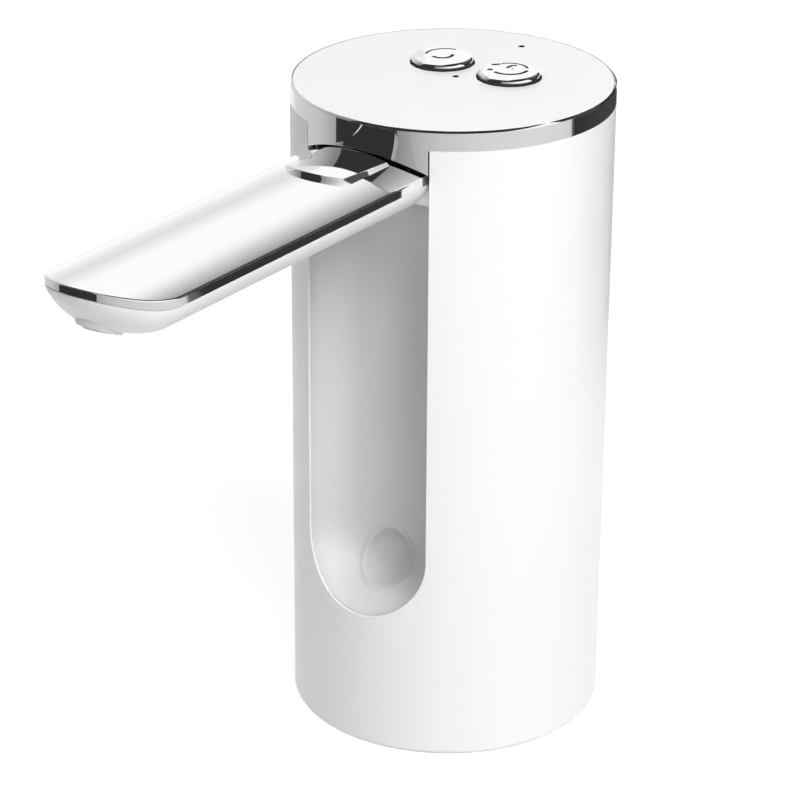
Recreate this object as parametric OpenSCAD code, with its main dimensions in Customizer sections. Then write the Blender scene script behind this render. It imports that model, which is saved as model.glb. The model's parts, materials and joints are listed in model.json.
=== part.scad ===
// Electric water jug pump with a fold-down spout.
// Millimetres. Z is up, the front is -Y, and the origin is the centre of the base, on the jug's axis.

/* [Body] */
// Outer radius of the body tube
body_r = 35; // [34:0.5:40]
// Height from the base to the top of the cap
body_h = 146.8; // [144:0.2:160]
// Wall thickness of the body tube
wall = 2.2; // [1.8:0.1:2.6]
// Rounding of the bottom outer edge
base_round = 1; // [0.5:0.1:1.5]
// Height of the chrome ring's outer face, with its chamfer
ring_h = 4.4; // [4:0.1:5]
// Chamfer on the ring's top edge
ring_chamfer = 0.6; // [0.3:0.1:0.8]
// Thickness of the top cap
cap_t = 1.95; // [1.6:0.05:2.2]
// Height of the slot's lowest point above the base
slot_bottom = 32; // [30:0.5:40]
// Gap on each side of the spout in its slot
slot_gap = 0.65; // [0.5:0.05:0.9]
// Wall thickness of the recess tray
tray_wall = 1.6; // [1.2:0.1:2]

/* [Spout] */
// Half of the spout's width
spout_half_w = 14.9; // [14:0.1:15.2]
// Drop from the top of the cap to the spout's top face
spout_drop = 6.8; // [6.5:0.1:7.5]
// Depth of the hinge axis below the spout's top face
hinge_depth = 8.5; // [8.3:0.1:9]
// Depth of the spout from its top face to its underside
spout_depth = 11.6; // [11.4:0.1:12]
// Thickness of the chrome cover
cover_t = 1.75; // [1.4:0.05:2]
// Wall thickness of the lower shell
shell_wall = 1.4; // [1.2:0.1:1.6]
// Corner radius of the lower shell
shell_corner_r = 6.5; // [5:0.1:7]
// Radius of the underside's upward sweep at the tip
tip_sweep_r = 16.5; // [16:0.5:20]
// Gap between the folded spout and its tray
fold_gap = 0.6; // [0.5:0.05:0.8]
// Gap between the tip of the folded spout and the slot's end
tip_gap = 0.8; // [0.6:0.1:1.2]
// Half of the thumb tab's width
tab_half_w = 7.45; // [6:0.05:9]
// Length of the thumb tab
tab_len = 18.7; // [15:0.1:22]
// Height of the thumb tab's front edge above the cover
tab_rise = 1.9; // [1.2:0.1:2.4]
// Plan radius of the thumb tab's front edge
tab_front_r = 15.5; // [13:0.5:20]

/* [Nozzle] */
// Tilt of the nozzle from straight down towards the front
nozzle_tilt = 22; // [18:1:26]
// Radius of the nozzle's rim
nozzle_rim_r = 4.6; // [4.2:0.1:5]
// Radius of the nozzle's collar at the shell
nozzle_base_r = 5.45; // [5.2:0.05:6]
// Height of the nozzle's collar
nozzle_h = 1.4; // [1:0.1:1.8]
// Radius of the nozzle's outlet
nozzle_bore_r = 3; // [2.6:0.1:3.2]

/* [Hinge] */
// Radius of the hinge pins
pin_r = 1.25; // [1:0.05:1.3]
// Outer radius of the hinge bushes
bush_r = 2.2; // [2:0.05:2.3]
// Length of each hinge hub along the axis
hub_len = 5.1; // [4:0.1:6]

/* [Buttons] */
// Radius of a push button
button_r = 6.9; // [6:0.1:7.2]
// Distance of each button from the middle
button_x = 8.65; // [8.6:0.05:10]
// Distance of the buttons behind the axis
button_y = 8.5; // [6:0.1:12]
// Height of a button's dome above the cap
button_rise = 1.5; // [1.2:0.1:2]
// Travel of a push button
button_travel = 0.8; // [0.4:0.1:0.9]
// Distance of the front pinhole behind the axis
front_led_y = 0.9; // [-2:0.1:2]
// Distance of the rear pinhole from the body's outer face
rear_led_inset = 8.4; // [8:0.1:10]
// Radius of a light guide
guide_r = 0.5; // [0.4:0.05:0.8]

/* [Jug socket] */
// Distance from the body's outer face in to the sleeve's bore, which grips a 55 mm jug neck
neck_inset = 7.7; // [7.2:0.1:8.5]
// Depth of the sleeve
neck_depth = 14.5; // [12:0.5:15]
// Wall thickness of the silicone sleeve
seal_t = 2.75; // [2:0.05:2.8]
// Radius of the hose spigot
spigot_r = 3.5; // [3:0.1:4]
// Length of the hose spigot below the deck
spigot_len = 10; // [9.5:0.1:10.4]

/* [Works] */
// Length of the hose nipples on the pump
nipple_len = 6; // [5:0.5:7]
// Outer radius of the inner hoses
hose_r = 3; // [2.6:0.1:3]
// Bore radius of the inner hoses
hose_bore_r = 2; // [1.7:0.1:2.1]
// Radius of the battery cell
cell_r = 9.2; // [8:0.1:9.4]
// Length of the battery cell
cell_len = 65; // [50:1:70]
// Radius of the motor can
motor_r = 12.2; // [10:0.1:12.4]
// Length of the motor can
motor_len = 30.8; // [25:0.1:38]
// Radius of the motor shaft
shaft_r = 1; // [0.8:0.05:1.2]
// Module of the pump gears
gear_module = 0.8; // [0.7:0.05:0.85]
// Teeth of each pump gear
gear_teeth = 12; // [11:1:12]
// Height of the pump gears
gear_h = 5.8; // [4:0.1:7]
// Height of the charging port above the base
usb_z = 90; // [88:1:105]

/* [Hidden] */
$fn = 64;
// Assembly clearance between parts that don't move
fit = 0.1;
// Close clearance of a pin or shaft that turns in its hole
running = 0.05;
// Clearance of a pin that stays in its hole
snug = 0.02;
// Overlap that carries a cut past a face
past = 1;
// Inside of the body tube
inner_r = body_r - wall;
ring_z = body_h - ring_h;
cap_z = body_h - cap_t;
cap_r = body_r - ring_chamfer - fit;
spigot_in_r = inner_r - 1.6;
slot_half_w = spout_half_w + slot_gap;
slot_cz = slot_bottom + slot_half_w;
// Hinge axis and spout lines
spout_z = body_h - spout_drop;
hinge_y = hinge_depth - body_r;
hinge_z = spout_z - hinge_depth;
crown_z = spout_z - body_r;
under_z = spout_z - spout_depth;
tip_y = hinge_y - (hinge_z - slot_bottom - tip_gap);
tip_cy = tip_y + spout_half_w;
sweep_cy = tip_y + 14;
sweep_cz = under_z + tip_sweep_r;
apron_gap = 0.35;
apron_t = 2;
tab_y = -body_r - 0.3;
// Hinge bay in the tray
bay_half_w = spout_half_w + 0.45;
bay_r = hinge_depth + 0.45;
cheek_x = bay_half_w + 1.85;
tray_r = inner_r - fit;
tray_top = ring_z - 0.4;
band_half_w = slot_half_w + 4;
hub_in = spout_half_w - hub_len;
hub_r = hinge_z - under_z;
// Water path through the hinge
hose_z = hinge_z + 1.5;
nipple_r = hose_bore_r - running;
nipple_bore_r = nipple_r - 0.75;
back_y = hinge_y + bay_r + tray_wall;
tube_rear_y = hinge_y - 7;
nozzle_stem_r = nozzle_bore_r + 1;
nozzle_stem_len = 6.4;
// Deck, socket and pump levels
deck_t = 2.4;
deck_top = slot_bottom - 2.6;
deck_z = deck_top - deck_t;
collar_r = inner_r - 2 * fit;
stop_t = 2;
neck_r = body_r - neck_inset;
stop_r = neck_r - 5.3;
collar_in_r = neck_r + seal_t + running;
stem_r = spigot_r + 0.4;
stem_bore_r = spigot_r - 1.2;
stem_head = 4;
side_r = spigot_r - 0.9;
side_bore_r = spigot_r - 1.9;
side_seat = 3.5;
stem_flange_r = 5.5;
stem_gap = 1.48;
gasket_t = 0.8;
nut_t = 2.4;
screw_ring_r = inner_r - 5.8;
screw_angles = [35, 145, 320];
screw_r = 1.25;
screw_head_r = 2.4;
screw_head_t = 1.6;
cover_plate_t = 3;
gear_pitch_r = gear_module * gear_teeth / 2;
gear_tip_r = gear_pitch_r + 0.9 * gear_module;
gear_root_r = gear_pitch_r - 1.25 * gear_module;
gear_x = gear_pitch_r;
pump_y = inner_r - 19.3;
cavity_r = gear_tip_r + 0.3;
pump_r = cavity_r + 4.2;
stem_y = pump_y - pump_r - stem_flange_r - stem_gap;
gear_z = deck_top + cover_plate_t + fit;
cavity_h = gear_h + 2 * fit;
pump_roof = 7.6;
pump_top = deck_top + cover_plate_t + cavity_h + pump_roof;
port_z = gear_z + gear_h / 2;
outlet_x = -3;
outlet_y = inner_r - 5;
outlet_boss_r = 3;
outlet_top = port_z + 4.5;
outlet_bore_r = 1.5;
screw_bite = 9;
idler_bite = 2.5;
seal_h = 3;
// Motor
motor_wall = 0.9;
motor_bush_r = 3;
endcap_t = 2.5;
motor_top = pump_top + motor_len;
shaft_low = deck_top + 1;
shaft_over = 1;
front_plate_t = 1.2;
bush_len = 2.5;
magnet_t = 2.3;
magnet_front = 4;
magnet_back = 5;
air_gap = 0.4;
coil_front = 5;
coil_back = 6;
commutator_r = 2.6;
commutator_end = 2.2;
terminal_x = 4.2;
terminal_w = 1;
terminal_h = 2.6;
// Battery
cradle_wall = 1.1;
cradle_r = cell_r + 3 * fit + cradle_wall;
cell_place = inner_r - cradle_r - 0.5;
cell_angle = 203;
cell_nub_r = 3;
cell_nub_h = 1.2;
cell_pos = [cell_place * cos(cell_angle), cell_place * sin(cell_angle)];
cradle_h = 24;
// Controls
board_t = 1.6;
board_z = cap_z - 6.85;
board_top = board_z + board_t;
board_r = spigot_in_r - 2.2;
board_front_y = -8;
boss_r = 2.6;
boss_ring_r = board_r - boss_r - 0.6;
boss_places = [for (a = [-10, 60, 120, 190]) boss_ring_r * [cos(a), sin(a)]];
rear_led_y = body_r - rear_led_inset;
flange_t = 1.15;
flange_top = cap_z - fit;
button_flange_r = button_r + 1.1;
stem_low = board_top + 2.75;
plunger_r = 1.6;
plunger_h = 1.4;
switch_w = 6;
switch_h = 2;
led_size = [1.6, 0.8, 0.7];
// Charging port
usb_w = 8.94;
usb_h = 3.26;
usb_len = 7.3;
usb_wall = 0.3;
charge_board_t = 1.2;
charge_board_z = usb_z - usb_h / 2 - charge_board_t;
charge_board_x = [-6.5, 8.5];
charge_board_y = [inner_r - 16.8, inner_r - 2];
rail_w = 2;
rail_y = inner_r - 8;
// Route of the outlet hose: up beside the motor, then forward to the hinge
function between(a, b, t) = a + (b - a) * t;
hose_low = outlet_top + 2 * fit;
hose_turn_y = inner_r - 10.3;
hose_end_y = back_y + 1.5 + 2 * fit;
hose_places = [
    [outlet_x, outlet_y, 0], [outlet_x, outlet_y, 0.1],
    [-4.5, inner_r - 5.3, 0.21], [-8, inner_r - 6.2, 0.32],
    [-10.5, inner_r - 7.2, 0.45], [-11, inner_r - 7.8, 0.58], [-11, inner_r - 8.3, 0.7],
    [-10.5, hose_turn_y, 0.805], [-8.5, between(hose_turn_y, hose_end_y, 0.14), 0.9],
    [-5, between(hose_turn_y, hose_end_y, 0.34), 0.965],
    [-1.5, between(hose_turn_y, hose_end_y, 0.58), 0.995],
    [0, between(hose_turn_y, hose_end_y, 0.8), 1], [0, hose_end_y, 1]];
hose_route = [for (p = hose_places) [p[0], p[1], between(hose_low, hose_z, p[2])]];
// Routes of the wires: straight up at both ends
function ease(t) = t < 0.12 ? 0 : t > 0.88 ? 1 : let (u = (t - 0.12) / 0.76) u * u * (3 - 2 * u);
function lead(a, b) = [for (t = [0, 0.12, 0.3, 0.5, 0.7, 0.88, 1])
    [between(a[0], b[0], ease(t)), between(a[1], b[1], ease(t)), between(a[2], b[2], t)]];
lead_top = board_z - 2 * fit;
motor_lead_z = motor_top + endcap_t + terminal_h + 2 * fit;
motor_lead_a = lead([gear_x - terminal_x, pump_y, motor_lead_z], [7, -1, lead_top]);
motor_lead_b = lead([gear_x + terminal_x, pump_y, motor_lead_z], [11, -1, lead_top]);
cell_lead_z = deck_top + cell_len + cell_nub_h + 2 * fit;
cell_lead_a = lead([cell_pos[0] - 1.5, cell_pos[1], cell_lead_z], [cell_pos[0] - 0.5, -3, lead_top]);
cell_lead_b = lead([cell_pos[0] + 1.5, cell_pos[1], cell_lead_z], [cell_pos[0] + 3.5, -3, lead_top]);
lead_r = 0.7;

// Round bar along X
module rod_x(r, x0, x1, y = 0, z = 0) {
    translate([x0, y, z]) rotate([0, 90, 0]) cylinder(r = r, h = x1 - x0);
}

// Round bar along Y
module rod_y(r, y0, y1, x = 0, z = 0) {
    translate([x, y1, z]) rotate([90, 0, 0]) cylinder(r = r, h = y1 - y0);
}

// Block between two corners
module block(low, high) {
    translate(low) cube(high - low);
}

// Both sides of the middle plane
module both_sides() {
    children();
    mirror([1, 0, 0]) children();
}

// Tube standing on z0
module tube(r_out, r_in, z0, z1) {
    difference() {
        translate([0, 0, z0]) cylinder(r = r_out, h = z1 - z0);
        translate([0, 0, z0 - past]) cylinder(r = r_in, h = z1 - z0 + 2 * past);
    }
}

// The spout turned down into its recess
module folded() {
    translate([0, hinge_y, hinge_z]) rotate([90, 0, 0]) translate([0, -hinge_y, -hinge_z]) children();
}

// Frame whose -Z runs out through the nozzle, from the centre of the tip's sweep
module nozzle_frame() {
    translate([0, sweep_cy, sweep_cz]) rotate([-nozzle_tilt, 0, 0]) children();
}

// Plan outline of the spout, grown by g
module spout_plan(g) {
    z0 = under_z - 10;
    z1 = spout_z + 20;
    translate([0, tip_cy, z0]) cylinder(r = spout_half_w + g, h = z1 - z0);
    block([-spout_half_w - g, tip_cy, z0], [spout_half_w + g, hinge_y, z1]);
}

// Cross-section of the spout below its crown, grown by g
module spout_section(g) {
    half_w = spout_half_w + g;
    r = shell_corner_r + g;
    y0 = tip_y - 10;
    y1 = hinge_y + 10;
    block([-half_w, y0, under_z - g + r], [half_w, y1, spout_z + 20]);
    block([r - half_w, y0, under_z - g], [half_w - r, y1, spout_z]);
    both_sides() rod_y(r, y0, y1, half_w - r, under_z - g + r);
}

// Side outline of the spout with its swept tip, grown by g
module spout_sweep(g) {
    rod_x(tip_sweep_r + g, -body_r, body_r, sweep_cy, sweep_cz);
    block([-body_r, sweep_cy, under_z - g], [body_r, hinge_y + 10, spout_z + 20]);
}

// Space that the spout takes up, grown by g and open above
module spout_envelope(g) {
    intersection() {
        spout_plan(g);
        spout_section(g);
        spout_sweep(g);
    }
}

// Crown of the spout: a long cylinder of radius r under the top face
module crown(r) {
    rod_y(r, tip_y - 10, hinge_y, 0, crown_z);
}

// Barrel round the hinge axis that carries the crown's curve on behind it
module barrel(r) {
    translate([0, hinge_y, hinge_z]) rotate([0, 90, 0]) rotate_extrude() intersection() {
        translate([hinge_depth - body_r, 0]) circle(r = r, $fn = 180);
        translate([0, -spout_half_w]) square([hinge_depth + past, 2 * spout_half_w]);
    }
}

// Quarter of space above and behind the hinge axis
module rear_quarter() {
    block([-40, hinge_y, hinge_z], [40, hinge_y + 30, hinge_z + 30]);
}

// Tube swept along a smooth curve through points, with an optional bore
function spline(p, i, t) =
    let (a = p[max(i - 1, 0)], b = p[i], c = p[i + 1], d = p[min(i + 2, len(p) - 1)])
    0.5 * (2 * b + (c - a) * t + (2 * a - 5 * b + 4 * c - d) * t * t + (3 * b - a - 3 * c + d) * t * t * t);
function route_points(p, steps) = concat(
    [for (i = [0:len(p) - 2]) for (s = [0:steps - 1]) spline(p, i, s / steps)], [p[len(p) - 1]]);
function unit(v) = v / norm(v);
function tangent(q, i) = unit(q[min(i + 1, len(q) - 1)] - q[max(i - 1, 0)]);
function ring_points(q, i, r, sides, side_axis) =
    let (t = tangent(q, i), u = unit(cross(side_axis, t)), v = cross(t, u))
    [for (k = [0:sides - 1]) q[i] + r * (cos(360 * k / sides) * u + sin(360 * k / sides) * v)];
module swept_rod(p, r, sides, steps, side_axis) {
    q = route_points(p, steps);
    n = len(q);
    polyhedron(
        [for (i = [0:n - 1]) each ring_points(q, i, r, sides, side_axis)],
        concat(
            [[for (k = [0:sides - 1]) k]],
            [[for (k = [sides - 1:-1:0]) (n - 1) * sides + k]],
            [for (i = [0:n - 2]) for (k = [0:sides - 1]) for (face = wall_faces(i, k, sides)) face]));
}
function wall_faces(i, k, sides) =
    let (a = i * sides + k, b = i * sides + (k + 1) % sides, c = a + sides, d = b + sides)
    [[a, c, b], [b, c, d]];
module swept_tube(p, r_out, r_in, sides, steps, side_axis) {
    lead_in = concat([2 * p[0] - p[1]], p, [2 * p[len(p) - 1] - p[len(p) - 2]]);
    difference() {
        swept_rod(p, r_out, sides, steps, side_axis);
        swept_rod(lead_in, r_in, sides, steps, side_axis);
    }
}

// Involute gear outline
function involute(base_r, r) = let (a = acos(base_r / r)) tan(a) * 180 / PI - a;
function flank_angle(base_r, r) = involute(base_r, max(r, base_r));
module gear(bore_r) {
    pressure = 20;
    base_r = gear_pitch_r * cos(pressure);
    backlash = 1.2;
    half_tooth = 90 / gear_teeth - backlash + flank_angle(base_r, gear_pitch_r);
    radii = [gear_root_r, base_r, (base_r + gear_pitch_r) / 2, gear_pitch_r,
        (gear_pitch_r + gear_tip_r) / 2, gear_tip_r];
    last = len(radii) - 1;
    right = [for (i = [0:last]) [radii[i], flank_angle(base_r, radii[i]) - half_tooth]];
    left = [for (i = [last:-1:0]) [radii[i], half_tooth - flank_angle(base_r, radii[i])]];
    outline = [for (k = [0:gear_teeth - 1]) for (p = concat(right, left))
        p[0] * [cos(p[1] + 360 * k / gear_teeth), sin(p[1] + 360 * k / gear_teeth)]];
    difference() {
        linear_extrude(height = gear_h) polygon(outline);
        translate([0, 0, -past]) cylinder(r = bore_r, h = gear_h + 2 * past);
    }
}

// Stadium-shaped bar along Y, for the charging port
module port_bar(w, h, y0, y1, z) {
    both_sides() rod_y(h / 2, y0, y1, (w - h) / 2, z);
    block([(h - w) / 2, y0, z - h / 2], [(w - h) / 2, y1, z + h / 2]);
}

// Slot in the body tube, from its round end up to the ring
module slot_cut() {
    rod_y(slot_half_w, -body_r - past, -inner_r / 2, 0, slot_cz);
    block([-slot_half_w, -body_r - past, slot_cz], [slot_half_w, -inner_r / 2, body_h]);
}

module body_shell() color("white") {
    difference() {
        union() {
            tube(body_r - base_round, inner_r, 0, base_round);
            tube(body_r, inner_r, base_round, ring_z);
            rotate_extrude() translate([body_r - base_round, base_round]) intersection() {
                circle(r = base_round);
                translate([-base_round / 2, -base_round]) square([1.5 * base_round, base_round]);
            }
        }
        slot_cut();
        port_bar(usb_w + 2 * fit, usb_h + 2 * fit, inner_r / 2, body_r + past, usb_z);
    }
    // Rails under the charging board
    intersection() {
        cylinder(r = inner_r + wall / 2, h = body_h);
        for (x = [charge_board_x[0], charge_board_x[1] - rail_w])
            block([x, rail_y, charge_board_z - rail_w], [x + rail_w, body_r, charge_board_z]);
    }
}

// Dimple in the tray that takes the folded nozzle, with wall g round it
module nozzle_pocket(g) {
    folded() nozzle_frame() translate([0, 0, -tip_sweep_r - nozzle_h - fold_gap - g])
        cylinder(r1 = nozzle_rim_r + 1.6 + g, r2 = nozzle_base_r + 2.15 + g, h = nozzle_h + fold_gap + 1 + g);
}

module recess_tray() color("white") {
    difference() {
        intersection() {
            union() {
                folded() spout_envelope(fold_gap + tray_wall);
                rod_x(bay_r + tray_wall, -cheek_x, cheek_x, hinge_y, hinge_z);
                nozzle_pocket(tray_wall);
                intersection() {
                    tube(tray_r, tray_r - 1.5, deck_top + 0.3, ring_z - 5);
                    block([-band_half_w, -body_r, 0], [band_half_w, -inner_r / 2, body_h]);
                }
            }
            cylinder(r = tray_r, h = tray_top);
        }
        folded() spout_envelope(fold_gap);
        rod_x(bay_r, -bay_half_w, bay_half_w, hinge_y, hinge_z);
        block([-bay_half_w, -body_r, hinge_z - past], [bay_half_w, hinge_y, body_h]);
        nozzle_pocket(0);
        both_sides() rod_x(pin_r + snug, bay_half_w - past, cheek_x - 0.5, hinge_y, hinge_z);
        rod_y(hose_r + fit, back_y - 5, back_y + 5, 0, hose_z);
    }
}

module trim_ring() color("silver") {
    difference() {
        union() {
            tube(body_r, spigot_in_r, ring_z, cap_z);
            tube(inner_r - fit, spigot_in_r, ring_z - 4, ring_z);
        }
        block([-cheek_x - 1, -body_r - past, ring_z - 5], [cheek_x + 1, 0, ring_z]);
    }
    difference() {
        union() {
            tube(body_r, cap_r + fit, cap_z, body_h - ring_chamfer);
            translate([0, 0, body_h - ring_chamfer])
                cylinder(r1 = body_r, r2 = body_r - ring_chamfer, h = ring_chamfer);
        }
        translate([0, 0, cap_z - past]) cylinder(r = cap_r + fit, h = body_h);
    }
    // Apron that closes the slot above the spout's root
    difference() {
        intersection() {
            tube(body_r, body_r - apron_t, hinge_z, ring_z);
            block([-slot_half_w + 0.25, -body_r, hinge_z], [slot_half_w - 0.25, -inner_r / 2, ring_z]);
        }
        rod_y(body_r + apron_gap, -body_r - past, 0, 0, crown_z);
    }
}

module top_cap() color("white") {
    difference() {
        union() {
            translate([0, 0, cap_z]) cylinder(r = cap_r, h = cap_t);
            difference() {
                tube(spigot_in_r - fit, spigot_in_r - 1.8, ring_z - 1, cap_z);
                block([-cheek_x - 1, -body_r, 0], [cheek_x + 1, 0, cap_z]);
            }
            for (p = boss_places)
                translate([p[0], p[1], board_top]) cylinder(r = boss_r, h = cap_z - board_top);
        }
        both_sides() translate([button_x, button_y, cap_z - past])
            cylinder(r = button_r + 3 * fit, h = cap_t + 2 * past);
        for (y = [front_led_y, rear_led_y])
            translate([0, y, cap_z - past]) cylinder(r = guide_r + running, h = cap_t + 2 * past);
        for (p = boss_places)
            translate([p[0], p[1], board_top - past]) cylinder(r = 0.9, h = past + 4);
    }
}

module jug_collar() color("gainsboro") {
    difference() {
        union() {
            tube(collar_r, collar_in_r, 0.3, deck_z);
            tube(collar_r, stop_r, neck_depth, neck_depth + stop_t);
            for (a = screw_angles)
                rotate(a) translate([screw_ring_r, 0, neck_depth + stop_t / 2])
                    cylinder(r = 3.7, h = deck_z - neck_depth - stop_t / 2);
        }
        for (a = screw_angles)
            rotate(a) translate([screw_ring_r, 0, neck_depth + stop_t + 0.4])
                cylinder(r = screw_r + snug, h = deck_z);
    }
}

module neck_seal() color("lightgray") {
    tube(neck_r + seal_t, neck_r, 0, neck_depth - fit);
}

// Outline of the pump, from z0 to z1
module pump_block(r, z0, z1) {
    both_sides() translate([gear_x, pump_y, z0]) cylinder(r = r, h = z1 - z0);
    block([-gear_x, pump_y - r, z0], [gear_x, pump_y + r, z1]);
}

module pump_screw_places() {
    both_sides() translate([gear_x + (cavity_r + pump_r) / 2, pump_y, 0]) children();
}

module chassis() color("gainsboro") {
    difference() {
        union() {
            translate([0, 0, deck_z]) cylinder(r = collar_r, h = deck_t);
            translate([cell_pos[0], cell_pos[1], 0])
                tube(cradle_r, cell_r + 3 * fit, deck_top, deck_top + cradle_h);
        }
        translate([0, stem_y, deck_z - past]) cylinder(r = stem_r + fit, h = deck_t + 2 * past);
        for (a = screw_angles)
            rotate(a) translate([screw_ring_r, 0, deck_z - past])
                cylinder(r = screw_r + fit, h = deck_t + 2 * past);
        pump_screw_places() translate([0, 0, deck_z - past])
            cylinder(r = screw_r + fit, h = deck_t + 2 * past);
    }
}

module base_screws() color("silver") {
    for (a = screw_angles) rotate(a) translate([screw_ring_r, 0, 0]) {
        translate([0, 0, deck_top]) cylinder(r = screw_head_r, h = screw_head_t);
        translate([0, 0, neck_depth + stop_t + 1])
            cylinder(r = screw_r, h = deck_top - neck_depth - stop_t - 1);
    }
}

module intake_stem() color("whitesmoke") {
    low = deck_z - spigot_len;
    difference() {
        union() {
            translate([0, stem_y, low]) cylinder(r = spigot_r, h = spigot_len);
            translate([0, stem_y, deck_z - nut_t])
                cylinder(r = stem_r, h = port_z + stem_head - deck_z + nut_t);
            translate([0, stem_y, deck_top + gasket_t]) cylinder(r = stem_flange_r, h = stop_t);
            rod_y(side_r, stem_y, pump_y - pump_r + side_seat, 0, port_z);
        }
        translate([0, stem_y, low - past]) cylinder(r = stem_bore_r, h = port_z - low + past);
        rod_y(side_bore_r, stem_y, pump_y, 0, port_z);
    }
}

module stem_nut() color("whitesmoke") {
    difference() {
        translate([0, stem_y, deck_z - nut_t]) cylinder(r = stem_r + 2.4, h = nut_t, $fn = 6);
        translate([0, stem_y, deck_z - nut_t - past]) cylinder(r = stem_r + fit, h = nut_t + 2 * past);
    }
}

module stem_gasket() color("dimgray") {
    translate([0, stem_y, 0]) tube(stem_flange_r, stem_r + fit, deck_top, deck_top + gasket_t);
}

module pump_body() color("dimgray") {
    low = deck_top + cover_plate_t;
    difference() {
        union() {
            pump_block(pump_r, low, pump_top);
            block([outlet_x - outlet_boss_r, pump_y, low], [outlet_x + outlet_boss_r, outlet_y, outlet_top]);
            translate([outlet_x, outlet_y, low]) cylinder(r = outlet_boss_r, h = outlet_top - low);
            translate([outlet_x, outlet_y, outlet_top]) cylinder(r = nipple_r, h = nipple_len);
        }
        both_sides() translate([gear_x, pump_y, low - past]) cylinder(r = cavity_r, h = cavity_h + past);
        translate([gear_x, pump_y, low]) cylinder(r = shaft_r + running, h = pump_top);
        translate([gear_x, pump_y, pump_top - seal_h]) cylinder(r = motor_bush_r + fit, h = seal_h + past);
        translate([-gear_x, pump_y, low]) cylinder(r = shaft_r + snug, h = cavity_h + idler_bite + 0.5);
        rod_y(side_r + running, pump_y - pump_r - past, pump_y - pump_r + side_seat + fit, 0, port_z);
        rod_y(side_bore_r, pump_y - pump_r, pump_y, 0, port_z);
        rod_y(outlet_bore_r, pump_y, outlet_y, outlet_x, port_z);
        translate([outlet_x, outlet_y, port_z]) cylinder(r = nipple_bore_r, h = body_h);
        pump_screw_places() translate([0, 0, low - past])
            cylinder(r = screw_r + snug, h = screw_bite + 2 * past);
    }
}

module pump_cover() color("gray") {
    difference() {
        pump_block(pump_r, deck_top, deck_top + cover_plate_t);
        translate([gear_x, pump_y, shaft_low - fit]) cylinder(r = shaft_r + running, h = 10);
        translate([-gear_x, pump_y, shaft_low - fit]) cylinder(r = shaft_r + snug, h = 10);
        pump_screw_places() translate([0, 0, deck_top - past]) cylinder(r = screw_r + fit, h = 10);
    }
}

module pump_screws() color("silver") {
    pump_screw_places() {
        translate([0, 0, deck_z - screw_head_t]) cylinder(r = screw_head_r, h = screw_head_t);
        translate([0, 0, deck_z]) cylinder(r = screw_r, h = deck_t + cover_plate_t + screw_bite);
    }
}

module idler_pin() color("silver") {
    top = deck_top + cover_plate_t + cavity_h + idler_bite;
    translate([-gear_x, pump_y, shaft_low]) cylinder(r = shaft_r, h = top - shaft_low);
}

module shaft_seal() color("black") {
    translate([gear_x, pump_y, 0])
        tube(motor_bush_r, shaft_r + running, pump_top - seal_h + fit, pump_top - fit);
}

module drive_gear() color("tan") {
    translate([gear_x, pump_y, gear_z]) rotate(180) gear(shaft_r + snug);
}

module driven_gear() color("tan") {
    translate([-gear_x, pump_y, gear_z]) rotate(180 / gear_teeth) gear(shaft_r + running);
}

module motor_can() color("silver") {
    translate([gear_x, pump_y, 0]) difference() {
        translate([0, 0, pump_top]) cylinder(r = motor_r, h = motor_len);
        translate([0, 0, pump_top + front_plate_t]) cylinder(r = motor_r - motor_wall, h = motor_len);
        translate([0, 0, pump_top - past]) cylinder(r = motor_bush_r + snug, h = front_plate_t + 2 * past);
    }
}

module motor_magnets() color("dimgray") {
    inside = motor_r - motor_wall;
    translate([gear_x, pump_y, 0]) difference() {
        tube(inside - running, inside - magnet_t, pump_top + magnet_front, motor_top - magnet_back);
        block([-2, -motor_r, 0], [2, motor_r, body_h]);
    }
}

module motor_bushes() color("goldenrod") {
    translate([gear_x, pump_y, 0]) {
        tube(motor_bush_r, shaft_r + running, pump_top, pump_top + bush_len);
        tube(motor_bush_r, shaft_r + running, motor_top - 1, motor_top + endcap_t - 0.5);
    }
}

module motor_endcap() color("whitesmoke") {
    translate([gear_x, pump_y, 0]) {
        difference() {
            union() {
                tube(motor_r - motor_wall - running, motor_bush_r + snug, motor_top - 1.5, motor_top);
                tube(motor_r, motor_bush_r + snug, motor_top, motor_top + endcap_t);
            }
            both_sides() block([terminal_x - terminal_w / 2 - fit, -terminal_w / 2 - fit, pump_top],
                [terminal_x + terminal_w / 2 + fit, terminal_w / 2 + fit, body_h]);
        }
    }
}

module motor_terminals() color("goldenrod") {
    translate([gear_x, pump_y, 0]) both_sides()
        block([terminal_x - terminal_w / 2, -terminal_w / 2, motor_top - 1],
            [terminal_x + terminal_w / 2, terminal_w / 2, motor_top + endcap_t + terminal_h]);
}

module motor_shaft() color("silver") {
    translate([gear_x, pump_y, shaft_low])
        cylinder(r = shaft_r, h = motor_top + endcap_t + shaft_over - shaft_low);
}

module motor_armature() color("peru") {
    translate([gear_x, pump_y, 0]) {
        tube(motor_r - motor_wall - magnet_t - air_gap, shaft_r + snug,
            pump_top + coil_front, motor_top - coil_back);
        tube(commutator_r, shaft_r + snug, motor_top - coil_back, motor_top - commutator_end);
    }
}

module battery_cell() color("steelblue") {
    translate([cell_pos[0], cell_pos[1], deck_top]) {
        cylinder(r = cell_r, h = cell_len);
        translate([0, 0, cell_len]) cylinder(r = cell_nub_r, h = cell_nub_h);
    }
}

module charge_board() color("darkgreen") {
    intersection() {
        block([charge_board_x[0], charge_board_y[0], charge_board_z],
            [charge_board_x[1], charge_board_y[1], charge_board_z + charge_board_t]);
        cylinder(r = inner_r - 2 * fit, h = body_h);
    }
}

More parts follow.
